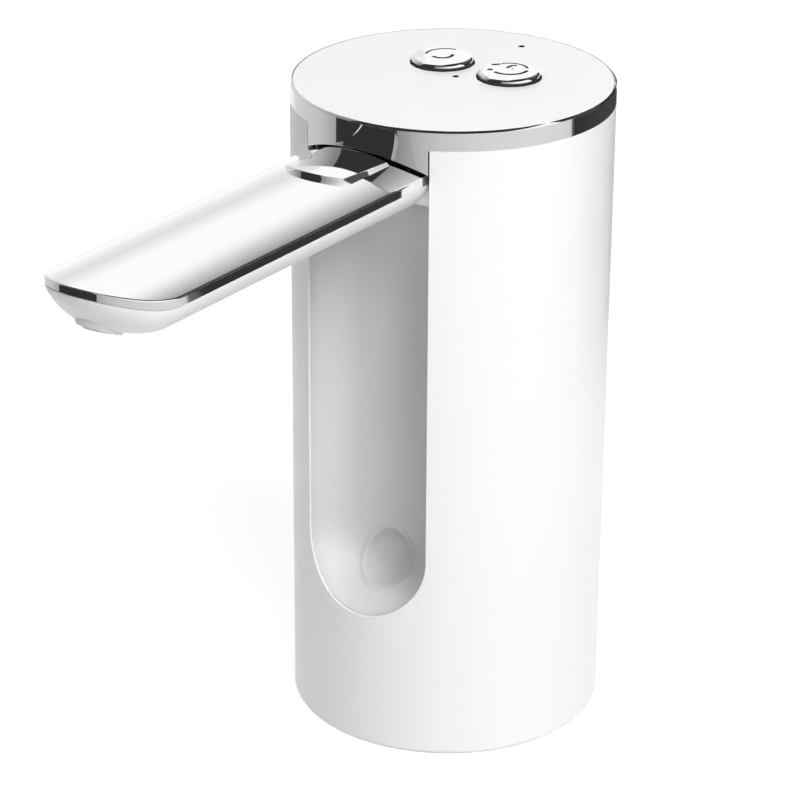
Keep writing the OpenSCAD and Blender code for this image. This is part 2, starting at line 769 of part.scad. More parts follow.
module usb_socket() color("silver") {
    mouth_y = body_r - 0.4;
    difference() {
        port_bar(usb_w, usb_h, mouth_y - usb_len, mouth_y, usb_z);
        port_bar(usb_w - 2 * usb_wall, usb_h - 2 * usb_wall, mouth_y - usb_len + 1, mouth_y + past, usb_z);
    }
    block([-3.3, mouth_y - usb_len + 0.5, usb_z - 0.35], [3.3, mouth_y - 0.8, usb_z + 0.35]);
}

module control_board() color("darkgreen") {
    difference() {
        intersection() {
            translate([0, 0, board_z]) cylinder(r = board_r, h = board_t);
            block([-board_r, board_front_y, 0], [board_r, board_r, body_h]);
        }
        for (p = boss_places) translate([p[0], p[1], board_z - past])
            cylinder(r = 1.1, h = board_t + 2 * past);
    }
}

module switch_bodies() color("dimgray") {
    both_sides() translate([button_x, button_y, board_top]) difference() {
        block([-switch_w / 2, -switch_w / 2, 0], [switch_w / 2, switch_w / 2, switch_h]);
        translate([0, 0, 0.3]) cylinder(r = plunger_r + 3 * fit, h = switch_h);
    }
}

module status_leds() color("lightyellow") {
    for (y = [front_led_y, rear_led_y])
        translate([-led_size[0] / 2, y - led_size[1] / 2, board_top]) cube(led_size);
}

module light_guides() color("black") {
    low = board_top + led_size[2] + fit;
    for (y = [front_led_y, rear_led_y]) translate([0, y, low]) cylinder(r = guide_r, h = body_h - fit - low);
}

module board_screws() color("silver") {
    for (p = boss_places) translate([p[0], p[1], 0]) {
        translate([0, 0, board_z - 1.2]) cylinder(r = 1.9, h = 1.2);
        translate([0, 0, board_z]) cylinder(r = 0.88, h = board_t + 3);
    }
}

// Domed push button with its retaining flange and stem, on its own axis
module button() {
    rim = 0.9;
    dome_r = 24;
    low = flange_top - flange_t;
    intersection() {
        union() {
            translate([0, 0, low]) cylinder(r = button_r, h = body_h + button_rise - rim - low);
            translate([0, 0, low]) cylinder(r = button_r - rim, h = body_h + button_rise - low);
            translate([0, 0, body_h + button_rise - rim]) rotate_extrude()
                translate([button_r - rim, 0]) circle(r = rim);
        }
        translate([0, 0, body_h + button_rise - dome_r]) sphere(r = dome_r, $fn = 180);
    }
    translate([0, 0, low]) cylinder(r = button_flange_r, h = flange_t);
    translate([0, 0, stem_low]) cylinder(r = plunger_r, h = low - stem_low);
}

module left_button() color("silver") {
    translate([-button_x, button_y, 0]) button();
}

module right_button() color("silver") {
    translate([button_x, button_y, 0]) button();
}

module plunger() {
    translate([0, button_y, stem_low - running - plunger_h]) cylinder(r = plunger_r, h = plunger_h);
}

module left_plunger() color("black") {
    translate([-button_x, 0, 0]) plunger();
}

module right_plunger() color("black") {
    translate([button_x, 0, 0]) plunger();
}

module outlet_hose() color("lightcyan") {
    swept_tube(hose_route, hose_r, hose_bore_r + 3 * fit, 12, 3, [1, 0, 0]);
}

module hose_union() color("whitesmoke") {
    difference() {
        union() {
            rod_y(hose_r, back_y - tray_wall - 0.3, back_y + fit, 0, hose_z);
            rod_y(hose_r + 1.5, back_y + fit, back_y + 1.5, 0, hose_z);
            rod_y(nipple_r, back_y - tray_wall - 4.8, back_y + 6.4, 0, hose_z);
        }
        rod_y(nipple_bore_r, back_y - 20, back_y + 20, 0, hose_z);
    }
}

module hinge_hose() color("lightcyan") {
    front_y = tube_rear_y + fit;
    rear_y = back_y - tray_wall - 0.4;
    difference() {
        rod_y(hose_r, front_y, rear_y, 0, hose_z);
        rod_y(hose_bore_r, front_y - past, rear_y + past, 0, hose_z);
    }
}

module hinge_pins() color("silver") {
    both_sides() rod_x(pin_r, hub_in + 0.3, cheek_x - 0.6, hinge_y, hinge_z);
}

module hinge_bushes() color("goldenrod") {
    both_sides() difference() {
        rod_x(bush_r, hub_in, spout_half_w, hinge_y, hinge_z);
        rod_x(pin_r + running, hub_in - past, spout_half_w + past, hinge_y, hinge_z);
    }
}

module friction_washers() color("whitesmoke") {
    both_sides() difference() {
        rod_x(hub_r - 0.2, spout_half_w + running, bay_half_w - running, hinge_y, hinge_z);
        rod_x(pin_r + snug, spout_half_w, bay_half_w + past, hinge_y, hinge_z);
    }
}

// Raised ramp at the root of the cover, for the thumb
module thumb_tab() {
    ramp = atan(tab_rise / tab_len);
    difference() {
        intersection() {
            translate([0, tab_y - tab_len + tab_front_r, crown_z]) cylinder(r = tab_front_r, h = 2 * body_r);
            block([-tab_half_w, tab_y - tab_len, crown_z], [tab_half_w, tab_y, spout_z + 10]);
            translate([0, tab_y, spout_z]) rotate([-ramp, 0, 0]) rod_y(body_r, -40, 10, 0, -body_r);
        }
        rod_y(body_r - cover_t / 2, tip_y, 0, 0, crown_z);
    }
}

module spout_cover() color("silver") {
    difference() {
        union() {
            intersection() {
                spout_plan(0);
                difference() {
                    crown(body_r);
                    rod_y(body_r - cover_t, tip_y - 10, hinge_y + past, 0, crown_z);
                }
                block([-40, tip_y - 5, hinge_z - 5], [40, hinge_y, spout_z + 5]);
            }
            intersection() {
                difference() {
                    barrel(body_r);
                    barrel(body_r - cover_t);
                }
                rear_quarter();
            }
            thumb_tab();
        }
        block([-hose_r - 0.6, hinge_y + 2, hinge_z - past],
            [hose_r + 0.6, hinge_y + 2 * hinge_depth, hose_z + hose_r + 0.4]);
    }
}

module spout_shell() color("white") {
    under_r = body_r - cover_t - running;
    difference() {
        union() {
            difference() {
                intersection() {
                    spout_envelope(0);
                    crown(under_r);
                }
                spout_envelope(-shell_wall);
                block([-spout_half_w + shell_wall, hinge_y - 3, under_z + shell_wall],
                    [spout_half_w - shell_wall, hinge_y + past, spout_z]);
            }
            // Hubs on the hinge axis
            both_sides() intersection() {
                union() {
                    rod_x(hub_r, hub_in, spout_half_w, hinge_y, hinge_z);
                    intersection() {
                        barrel(under_r);
                        rear_quarter();
                    }
                    intersection() {
                        spout_envelope(0);
                        crown(under_r);
                        block([0, hinge_y - 7, 0], [40, hinge_y, body_h]);
                    }
                }
                block([hub_in, hinge_y - 20, 0], [spout_half_w, hinge_y + 20, body_h]);
            }
        }
        both_sides() rod_x(bush_r + snug, hub_in - past, spout_half_w + past, hinge_y, hinge_z);
        nozzle_frame() translate([0, 0, -tip_sweep_r - 5]) cylinder(r = nozzle_stem_r + fit, h = 8);
    }
}

module spout_tube() color("lightcyan") {
    front_y = sweep_cy - 1.4;
    difference() {
        union() {
            rod_y(hose_r, front_y, tube_rear_y, 0, hose_z);
            rod_y(nipple_r, tube_rear_y - past, tube_rear_y + 4.5, 0, hose_z);
        }
        rod_y(nipple_bore_r, front_y - past, tube_rear_y + 5, 0, hose_z);
    }
}

module nozzle() color("whitesmoke") {
    difference() {
        union() {
            nozzle_frame() difference() {
                translate([0, 0, -tip_sweep_r - nozzle_h])
                    cylinder(r1 = nozzle_rim_r, r2 = nozzle_base_r, h = nozzle_h + 0.2);
                rod_x(tip_sweep_r + running, -20, 20);
            }
            nozzle_frame() translate([0, 0, -tip_sweep_r - nozzle_h])
                cylinder(r = nozzle_stem_r, h = nozzle_h + nozzle_stem_len);
        }
        nozzle_frame() translate([0, 0, -tip_sweep_r - nozzle_h - past])
            cylinder(r = nozzle_bore_r, h = nozzle_h + nozzle_stem_len - 0.9 + past);
        rod_y(hose_r + running, sweep_cy - 3, sweep_cy + 3, 0, hose_z);
    }
}

// Flow straightener in the nozzle's mouth: a ring with a cross
module nozzle_insert() color("lightgray") {
    r = nozzle_bore_r - running;
    z0 = -tip_sweep_r - nozzle_h + 0.4;
    nozzle_frame() {
        tube(r, r - 0.6, z0, z0 + 1.6);
        block([0.3 - r, -0.25, z0], [r - 0.3, 0.25, z0 + 1.6]);
        block([-0.25, 0.3 - r, z0], [0.25, r - 0.3, z0 + 1.6]);
    }
}

module motor_leads() color("crimson") {
    swept_rod(motor_lead_a, lead_r, 8, 3, [1, 0, 0]);
    swept_rod(motor_lead_b, lead_r, 8, 3, [1, 0, 0]);
}

module battery_leads() color("crimson") {
    swept_rod(cell_lead_a, lead_r, 8, 3, [1, 0, 0]);
    swept_rod(cell_lead_b, lead_r, 8, 3, [1, 0, 0]);
}

body_shell();
recess_tray();
trim_ring();
top_cap();
jug_collar();
neck_seal();
chassis();
base_screws();
intake_stem();
stem_nut();
stem_gasket();
pump_body();
pump_cover();
pump_screws();
idler_pin();
shaft_seal();
drive_gear();
driven_gear();
motor_can();
motor_magnets();
motor_bushes();
motor_endcap();
motor_terminals();
motor_shaft();
motor_armature();
battery_cell();
charge_board();
usb_socket();
control_board();
switch_bodies();
status_leds();
light_guides();
board_screws();
left_button();
right_button();
left_plunger();
right_plunger();
outlet_hose();
hose_union();
hinge_hose();
hinge_pins();
hinge_bushes();
friction_washers();
spout_cover();
spout_shell();
spout_tube();
nozzle();
nozzle_insert();
motor_leads();
battery_leads();
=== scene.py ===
"""Electric water jug pump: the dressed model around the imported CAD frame. Lengths are in millimetres."""
import json
from math import asin, cos, hypot, pi, radians, sin, sqrt

import bmesh
import bpy
import numpy as np
from mathutils import Matrix, Vector


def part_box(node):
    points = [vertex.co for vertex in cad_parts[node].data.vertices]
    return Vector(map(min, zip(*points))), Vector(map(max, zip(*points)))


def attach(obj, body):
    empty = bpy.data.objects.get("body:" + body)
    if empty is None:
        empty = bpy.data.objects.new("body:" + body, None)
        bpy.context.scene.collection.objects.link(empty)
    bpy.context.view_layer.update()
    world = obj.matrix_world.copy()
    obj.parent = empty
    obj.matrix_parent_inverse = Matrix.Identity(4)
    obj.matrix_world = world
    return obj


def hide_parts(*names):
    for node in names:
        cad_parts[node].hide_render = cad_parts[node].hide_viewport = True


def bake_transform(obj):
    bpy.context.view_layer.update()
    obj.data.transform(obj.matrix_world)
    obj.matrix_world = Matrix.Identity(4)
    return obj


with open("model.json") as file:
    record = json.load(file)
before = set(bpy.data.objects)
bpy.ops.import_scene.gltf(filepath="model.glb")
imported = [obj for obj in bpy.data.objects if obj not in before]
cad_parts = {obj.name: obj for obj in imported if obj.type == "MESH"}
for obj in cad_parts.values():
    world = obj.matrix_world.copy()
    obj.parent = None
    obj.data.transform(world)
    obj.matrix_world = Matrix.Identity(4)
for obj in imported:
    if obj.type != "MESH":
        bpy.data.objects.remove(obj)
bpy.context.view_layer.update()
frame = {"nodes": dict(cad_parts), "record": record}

MM = 0.001
FULL = 2 * pi
TINY = 1e-6
MERGE = 0.0012  # points closer than this become one
EDGE_HOLD = 0.06  # a row this far from a rounded edge keeps the face beside it flat
HALVINGS = 40  # steps of a search by halving

# Sizes and places in the CAD's frame: +Z up, -Y to the front. Most are the CAD source's own.
BODY_R, BODY_IN = 35.0, 32.8
BASE_ROUND, BASE_HOLD = 1.0, 0.1
RING_Z, TOP_Z, CAP_Z = 142.4, 146.8, 144.85
CAP_R, RING_IN = 34.44, 33.0
SLOT_W, SLOT_Z = 15.55, 47.55
APRON_W, ARCH_R = 15.3, 35.6
CROWN_R, CROWN_Z, COVER_WALL = 35.0, 105.0, 1.75
SPOUT_W, TIP_CY, TIP_POWER = 14.75, -110.3, 1.9
HINGE_Y, HINGE_Z = -26.5, 131.5
SWEEP_Y, SWEEP_Z, SWEEP_R = -111.6, 147.6, 19.15
SIDE_IN, SIDE_LEAN, SIDE_FULL = 6.9, 0.4, 6.2
FOLD_GAP = 0.75
NOZZLE_Y, NOZZLE_Z, NOZZLE_S, NOZZLE_TILT = -109.5, 144.9, 17.15, radians(26)
TAB_W, TAB_FOOT, TAB_Y, TAB_TIP, TAB_ARC = 7.2, 8.5, -35.3, -52.5, 11.0
TAB_BACK, TAB_RISE, TAB_ROOT = 0.45, 0.95, 1.2
BUTTON_R, BUTTON_HOLE, BUTTON_FOOT, BUTTON_TOP = 6.7, 7.05, 147.38, 148.3
BUTTON_AT = {-1: (-8.0, 7.5), 1: (9.3, 7.5)}
USB_Z, USB_W, USB_H = 90.0, 9.14, 3.46
BAY_W, BAY_R = 15.35, 8.95
OBJECT_TURN = radians(34.2)  # how far the object is turned to the left of the camera


def span(a, b, n):
    """n + 1 even steps from a to b."""
    return [a + (b - a) * i / n for i in range(n + 1)]


def lerp(a, b, t):
    return a + (b - a) * t


class Mesh:
    """Collects points and faces, then becomes one object."""

    def __init__(self):
        self.verts, self.faces = [], []

    def points(self, pts):
        start = len(self.verts)
        self.verts.extend(tuple(p) for p in pts)
        return list(range(start, len(self.verts)))

    def grid(self, rows, closed=False, skip=None):
        """Quads between rows of points; closed joins each row's end to its start."""
        ids = [self.points(r) for r in rows]
        n = len(ids[0])
        for i in range(len(ids) - 1):
            for j in range(n if closed else n - 1):
                if skip and skip(i, j):
                    continue
                k = (j + 1) % n
                self.faces.append((ids[i][j], ids[i][k], ids[i + 1][k], ids[i + 1][j]))

    def face(self, ring):
        self.faces.append(tuple(self.points(ring)))

    def revolve(self, profile, n=96, centre=(0, 0)):
        """Turns (r, z) points round a vertical line. The profile is a loop, or starts and ends at r = 0."""
        turns = [FULL * i / n for i in range(n)]
        rows = []
        for r, z in profile:
            rows.append([(centre[0] + r * sin(t), centre[1] - r * cos(t), z) for t in turns])
        self.grid(rows, closed=True)

    def build(self, name, angle=40.0, move=None):
        bm = bmesh.new()
        vs = [bm.verts.new(Vector(p) * MM) for p in self.verts]
        for f in self.faces:
            try:
                bm.faces.new([vs[i] for i in f])
            except ValueError:
                pass
        bmesh.ops.remove_doubles(bm, verts=bm.verts, dist=MERGE * MM)
        bmesh.ops.dissolve_degenerate(bm, edges=bm.edges, dist=MERGE * MM)
        outward(bm)
        if move:
            bm.transform(move)
        return to_object(bm, name, angle)


def outward(bm):
    """Turns every face to the outside."""
    bmesh.ops.recalc_face_normals(bm, faces=bm.faces)
    if bm.calc_volume(signed=True) < 0:
        bmesh.ops.reverse_faces(bm, faces=bm.faces)


def smooth(bm, angle):
    """Smooth shading, with edges sharper than the angle kept sharp."""
    for f in bm.faces:
        f.smooth = True
    for e in bm.edges:
        e.smooth = not (len(e.link_faces) == 2 and e.calc_face_angle(0.0) > radians(angle))


def link(name, data):
    obj = bpy.data.objects.new(name, data)
    bpy.context.scene.collection.objects.link(obj)
    return obj


def to_object(bm, name, angle):
    smooth(bm, angle)
    me = bpy.data.meshes.new(name)
    bm.to_mesh(me)
    bm.free()
    return link(name, me)


def apply_modifiers(obj, angle):
    """Puts the modifiers into the mesh and shades it afresh."""
    dep = bpy.context.evaluated_depsgraph_get()
    bm = bmesh.new()
    bm.from_object(obj, dep)
    obj.modifiers.clear()
    outward(bm)
    smooth(bm, angle)
    bm.to_mesh(obj.data)
    bm.free()


def fillet(f, steps=5, hold=EDGE_HOLD):
    """(inset, depth) pairs round an edge of radius f, with a close row on either side of it."""
    arc = [(f - f * sin(t), f - f * cos(t)) for t in span(0, pi / 2, steps)]
    return [(f + hold, 0.0)] + arc + [(0.0, f + hold)]


def on_front(x, z, r):
    return (x, -sqrt(max(r * r - x * x, 0.0)), z)


def on_round(a, z, r):
    return (r * sin(a), -r * cos(a), z)


def tip_y(s, w, power=TIP_POWER):
    """How far the spout's rounded end reaches at s of its half width w."""
    return w * max(1 - abs(s) ** power, 0.0) ** (1 / power)


# Materials

NOISE_LOW, NOISE_HIGH = 0.3, 0.7  # most of a noise texture's values lie between these
GLOSS_GRAIN = 2.3  # how much finer the gloss varies than the tone
BUMP_DEPTH = 0.08


def material(name, colour, rough, metal=0.0, tone=0.02, grain=60.0, bump=0.0, bump_scale=900.0,
             rough_spread=0.05, stretch=(1, 1, 1), coat=0.0, spec=0.5, sheen=0.0, clear=0.0):
    """A finish with a slight mottle, uneven gloss and fine surface texture, all in object space."""
    m = bpy.data.materials.new(name)
    m.use_nodes = True
    nt = m.node_tree
    b = nt.nodes["Principled BSDF"]
    b.inputs["Metallic"].default_value = metal
    b.inputs["Specular IOR Level"].default_value = spec
    b.inputs["Coat Weight"].default_value = coat
    b.inputs["Sheen Weight"].default_value = sheen
    b.inputs["Transmission Weight"].default_value = clear
    tc = nt.nodes.new("ShaderNodeTexCoord")
    place = nt.nodes.new("ShaderNodeMapping")
    place.inputs["Scale"].default_value = stretch
    nt.links.new(tc.outputs["Object"], place.inputs["Vector"])

    def noise(scale, detail):
        n = nt.nodes.new("ShaderNodeTexNoise")
        n.inputs["Scale"].default_value = scale
        n.inputs["Detail"].default_value = detail
        nt.links.new(place.outputs["Vector"], n.inputs["Vector"])
        return n.outputs["Fac"]

    ramp = nt.nodes.new("ShaderNodeValToRGB")
    for e, at, k in zip(ramp.color_ramp.elements, (NOISE_LOW, NOISE_HIGH), (1 - tone, 1 + tone)):
        e.position = at
        e.color = (*[min(c * k, 1.0) for c in colour], 1)
    nt.links.new(noise(grain, 3.0), ramp.inputs["Fac"])
    nt.links.new(ramp.outputs["Color"], b.inputs["Base Color"])
    spread = nt.nodes.new("ShaderNodeMapRange")
    spread.inputs["From Min"].default_value = NOISE_LOW
    spread.inputs["From Max"].default_value = NOISE_HIGH
    spread.inputs["To Min"].default_value = max(rough - rough_spread, 0.01)
    spread.inputs["To Max"].default_value = rough + rough_spread
    nt.links.new(noise(grain * GLOSS_GRAIN, 4.0), spread.inputs["Value"])
    nt.links.new(spread.outputs["Result"], b.inputs["Roughness"])
    if bump:
        bn = nt.nodes.new("ShaderNodeBump")
        bn.inputs["Strength"].default_value = bump
        bn.inputs["Distance"].default_value = BUMP_DEPTH * MM
        nt.links.new(noise(bump_scale, 2.0), bn.inputs["Height"])
        nt.links.new(bn.outputs["Normal"], b.inputs["Normal"])
    return m


MOULDED = dict(tone=0.006, grain=35, bump=0.10, bump_scale=3500)  # the fine texture of the white shells
FINISHES = {
    "white_shell": dict(colour=(0.90, 0.90, 0.895), rough=0.36, **MOULDED),
    # the top disc: the white shell's plastic made a little darker as painted shade, to hold down its lit
    # top
    "cap_white_painted_shade": dict(colour=(0.855, 0.855, 0.85), rough=0.36, **MOULDED),
    "chrome_trim": dict(colour=(0.965, 0.965, 0.968), rough=0.03, metal=1.0, tone=0.01, grain=90,
                        rough_spread=0.02),
    "collar_plastic": dict(colour=(0.80, 0.80, 0.79), rough=0.5, bump=0.3, bump_scale=2500),
    "silicone": dict(colour=(0.82, 0.82, 0.80), rough=0.55, bump=0.25, bump_scale=1800, sheen=0.1),
    "fitting_plastic": dict(colour=(0.84, 0.84, 0.82), rough=0.45, bump=0.2, bump_scale=2200),
    "clear_hose": dict(colour=(0.80, 0.85, 0.86), rough=0.2, tone=0.03, bump=0.15, clear=0.55),
    "dark_rubber": dict(colour=(0.03, 0.03, 0.03), rough=0.7, tone=0.15, bump=0.4),
    "pump_plastic": dict(colour=(0.05, 0.05, 0.055), rough=0.55, tone=0.15, bump=0.5, bump_scale=1500),
    "gear_plastic": dict(colour=(0.74, 0.68, 0.55), rough=0.4, tone=0.03, bump=0.2),
    "steel": dict(colour=(0.62, 0.62, 0.62), rough=0.3, metal=1.0, tone=0.05, grain=200, bump=0.25,
                  rough_spread=0.08),
    "motor_steel": dict(colour=(0.55, 0.55, 0.56), rough=0.32, metal=1.0, tone=0.05, grain=150, bump=0.3,
                        stretch=(1, 1, 0.08), rough_spread=0.1),
    "magnet": dict(colour=(0.045, 0.045, 0.05), rough=0.7, tone=0.2, bump=0.6, bump_scale=2500),
    "bronze": dict(colour=(0.55, 0.36, 0.14), rough=0.4, metal=1.0, tone=0.08, bump=0.4, bump_scale=3000),
    "armature": dict(colour=(0.42, 0.13, 0.035), rough=0.35, metal=0.6, tone=0.15, grain=400, bump=0.8,
                     stretch=(1, 1, 6), rough_spread=0.1),
    "cell_wrap": dict(colour=(0.035, 0.11, 0.27), rough=0.3, tone=0.06, bump=0.15, coat=0.2),
    "board_green": dict(colour=(0.008, 0.075, 0.025), rough=0.35, tone=0.25, grain=300, bump=0.3, coat=0.3),
    "black_plastic": dict(colour=(0.012, 0.012, 0.012), rough=0.45, tone=0.2, bump=0.3),
    # the buttons' skirts: glossy near-black painted in as the dark reflection round each chrome button's
    # foot
    "skirt_painted_dark_reflection": dict(colour=(0.03, 0.03, 0.032), rough=0.25, tone=0.1, grain=200, rough_spread=0.04),
    "led": dict(colour=(0.85, 0.82, 0.55), rough=0.15, tone=0.03, clear=0.3),
    "lead_wrap": dict(colour=(0.35, 0.012, 0.012), rough=0.45, tone=0.1, bump=0.2),
    "guide_black": dict(colour=(0.003, 0.003, 0.003), rough=0.8, tone=0.2, grain=300, spec=0.05),
    "glyph_ink": dict(colour=(0.006, 0.006, 0.007), rough=0.6, tone=0.2, grain=400, spec=0.15),
    # the recess: the white shell's plastic painted grey as shade, so the hollow is darker than its light
    # alone makes it
    "recess_painted_shade": dict(colour=(0.66, 0.66, 0.656), rough=0.42, **MOULDED),
}
SKIN = {name: material(name, **finish) for name, finish in FINISHES.items()}
SLOT_OF = {s["node"]: s["material_slot"] for s in frame["record"]["subparts"]}
for node, obj in frame["nodes"].items():
    for holder in obj.material_slots:
        holder.material = SKIN[SLOT_OF[node]]


def dress(obj, body, slot, *nodes, skin=None):
    """Gives a piece its slot's finish or another skin, its body and the CAD nodes it stands for."""
    obj.data.materials.clear()
    obj.data.materials.append(SKIN[skin or slot])
    if nodes:
        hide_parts(*nodes)
    if body:
        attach(obj, body)


# Body shell

ARC = span(-pi / 2, pi / 2, 80)
SLOT_EDGE = 0.2
LIP, LIP_R = 0.75, 34.55
PORT_EDGE = 0.3
# The wall's mesh has a square window round the port: half its share of the way round, and half its height.
PORT_HALF, PORT_REACH = 0.042, 6.0
PORT_FROM, PORT_TO = 0.5 - PORT_HALF, 0.5 + PORT_HALF
PORT_LOW, PORT_HIGH = USB_Z - PORT_REACH, USB_Z + PORT_REACH
BACK_STEPS, PORT_STEPS = 60, 16
BACK = span(0, PORT_FROM, BACK_STEPS) + span(PORT_FROM, PORT_TO, PORT_STEPS)[1:]
BACK += span(PORT_TO, 1, BACK_STEPS)[1:]
PORT_COLS = range(BACK_STEPS, BACK_STEPS + PORT_STEPS)
UNDER_STEPS, UP_STEPS = 9, 12
UPPER = span(SLOT_Z, PORT_LOW, UNDER_STEPS) + span(PORT_LOW, PORT_HIGH, UP_STEPS)[1:]
UPPER += span(PORT_HIGH, RING_Z, UP_STEPS)[1:]
PORT_ROWS = range(UNDER_STEPS, UNDER_STEPS + UP_STEPS)


def tube_wall(mesh, r, d, z0):
    """One face of the tube, with the slot grown by d and a window round the port. Returns its edges."""
    w = SLOT_W + d
    a0 = asin(w / r)
    back = [lerp(a0, FULL - a0, t) for t in BACK]
    low = []
    for f in span(0, 1, 14):
        row = [on_front(w * sin(t), lerp(z0, SLOT_Z - w * cos(t), f), r) for t in ARC]
        low.append(row + [on_round(a, lerp(z0, SLOT_Z, f), r) for a in back[1:-1]])
    mesh.grid(low, closed=True)
    high = [[on_round(a, z, r) for a in back] for z in UPPER]
    mesh.grid(high, skip=lambda i, j: i in PORT_ROWS and j in PORT_COLS)
    c0, c1, r0, r1 = PORT_COLS[0], PORT_COLS[-1] + 1, PORT_ROWS[0], PORT_ROWS[-1] + 1
    window = [high[r0][c] for c in range(c0, c1)] + [high[i][c1] for i in range(r0, r1)]
    window += [high[r1][c] for c in range(c1, c0, -1)] + [high[i][c0] for i in range(r1, r0, -1)]
    return low[0], high[-1], window


def slot_line(r, d):
    """The slot's edge, from the top of its left side round the bottom to the top of its right side."""
    w = SLOT_W + d
    pts = [on_front(-w, z, r) for z in reversed(UPPER)]
    pts += [on_front(w * sin(t), SLOT_Z - w * cos(t), r) for t in ARC[1:-1]]
    return pts + [on_front(w, z, r) for z in UPPER]


def port_point(p, grow, r, mix=1.0):
    """The point of the port's rounded outline on the way from its centre to p, laid on the radius r."""
    flat, half = (USB_W - USB_H) / 2, USB_H / 2 + grow
    x, z = p[0], p[2] - USB_Z
    lo, hi = 0.0, 1.0
    for _ in range(HALVINGS):
        k = (lo + hi) / 2
        if hypot(max(abs(x * k) - flat, 0.0), z * k) < half:
            lo = k
        else:
            hi = k
    x, z = lerp(x, x * lo, mix), lerp(z, z * lo, mix)
    return (x, sqrt(r * r - x * x), z + USB_Z)


def make_body():
    m = Mesh()
    edge = fillet(SLOT_EDGE)
    out_low, out_top, out_win = tube_wall(m, BODY_R, edge[0][0], BASE_ROUND + BASE_HOLD)
    in_low, in_top, in_win = tube_wall(m, BODY_IN, LIP, 0.0)
    profile = [(d, BODY_R - h) for d, h in edge[:-1]] + [(0.0, LIP_R), (LIP, LIP_R), (LIP, BODY_IN)]
    m.grid([slot_line(r, d) for d, r in profile])
    m.grid([out_top, in_top])
    for side in (-1, 1):
        m.face([on_front(side * (SLOT_W + d), RING_Z, r) for d, r in profile])
    foot = [out_low]
    for d, h in fillet(BASE_ROUND, 6, BASE_HOLD)[1:-1][::-1] + [(BASE_ROUND + BASE_HOLD, 0.0)]:
        foot.append([(x * (1 - d / BODY_R), y * (1 - d / BODY_R), h) for x, y, _ in out_low])
    m.grid(foot + [in_low], closed=True)
    rings = [out_win]
    for mix in (0.4, 0.75, 1.0):
        rings.append([port_point(p, PORT_EDGE + EDGE_HOLD, BODY_R, mix) for p in out_win])
    for d, h in fillet(PORT_EDGE, 4)[1:]:
        rings.append([port_point(p, d, BODY_R - h) for p in out_win])
    rings += [[port_point(p, 0.0, BODY_IN) for p in in_win], in_win]
    m.grid(rings, closed=True)
    dress(m.build("body_tube"), "housing", "white_shell", "body_shell")


# Trim ring and apron

RING_EDGE = 0.1
RING_BACK = span(0, 1, 150)
RING_ACROSS = span(-1, 1, 70)
RING_SIDE = span(0, 1, 10)
SHELF_Z = CAP_Z - 0.4
# (r, z) rows up the ring's outside, over its chamfer and down to the shelf under the cap.
RING_ROWS = [(BODY_R, 144.4), (BODY_R, 146.3), (BODY_R, 146.36), (34.985, 146.39), (34.61, 146.765),
             (34.58, TOP_Z), (34.52, 146.78), (34.52, SHELF_Z)]


def arch_z(x):
    return CROWN_Z + sqrt(ARCH_R * ARCH_R - x * x)


def ring_line(r, d):
    """The ring's closed lower edge: round the back, down the apron's left side, along its arch and up."""
    w = APRON_W - d
    a0 = asin(w / r)
    low, high = arch_z(w) + d, RING_Z + d
    pts = [on_round(lerp(a0, FULL - a0, t), high, r) for t in RING_BACK]
    pts += [on_front(-w, lerp(high, low, t), r) for t in RING_SIDE[1:]]
    pts += [on_front(w * s, arch_z(w * s) + d, r) for s in RING_ACROSS[1:]]
    return pts + [on_front(w, lerp(low, high, t), r) for t in RING_SIDE[1:-1]]


def ring_wall(mesh, r, d, levels):
    """The apron and a band of the ring above it; levels are the band's (r, z) rows. Returns the top row."""
    w = APRON_W - d
    a0 = asin(w / r)
    turn = [asin(w * s / r) for s in RING_ACROSS] + [lerp(a0, FULL - a0, t) for t in RING_BACK[1:-1]]
    apron = []
    for t in RING_SIDE:
        apron.append([on_front(w * s, lerp(arch_z(w * s) + d, RING_Z + d, t), r) for s in RING_ACROSS])
    mesh.grid(apron)
    band = [[on_round(a, z, rr) for a in turn] for rr, z in levels]
    mesh.grid(band, closed=True)
    return band[-1]


def make_ring():
    m = Mesh()
    edge = fillet(RING_EDGE, 4)
    d0 = edge[0][0]
    top = ring_wall(m, BODY_R, d0, [(BODY_R, RING_Z + d0)] + RING_ROWS)
    shelf = ring_wall(m, RING_IN, 0.0, [(RING_IN, RING_Z), (RING_IN, SHELF_Z)])
    m.grid([top, shelf], closed=True)
    m.grid([ring_line(BODY_R - h, d) for d, h in edge] + [ring_line(RING_IN, 0.0)], closed=True)
    dress(m.build("trim_ring_apron"), "housing", "chrome_trim", "trim_ring")


# Top cap, light guides and buttons

PINHOLES = ((0.0, 0.9), (0.0, 26.6))
PINHOLE_R = 0.76
CAP_EDGE, HOLE_EDGE, PINHOLE_EDGE = 0.3, 0.12, 0.02
CAP_STEPS, HOLE_STEPS, PINHOLE_STEPS = 200, 120, 32
CAP_LIFT = 0.05
GUIDE_R, GUIDE_SINK, GUIDE_EDGE = 0.74, 0.02, 0.06
DOME_R, RIM_R, DOME_LIP, DOME_STEPS = 130.0, 0.95, 0.08, 144
SKIRT_IN, SKIRT_DROP, SKIRT_LOW = 0.06, 0.09, 144.6
SKIRT_EDGE, SKIRT_TOP_EDGE, SKIRT_LOW_EDGE = 0.1, 0.06, 0.12
STROKE, STROKE_MID, STROKE_BOLD = 0.55, 0.75, 0.95


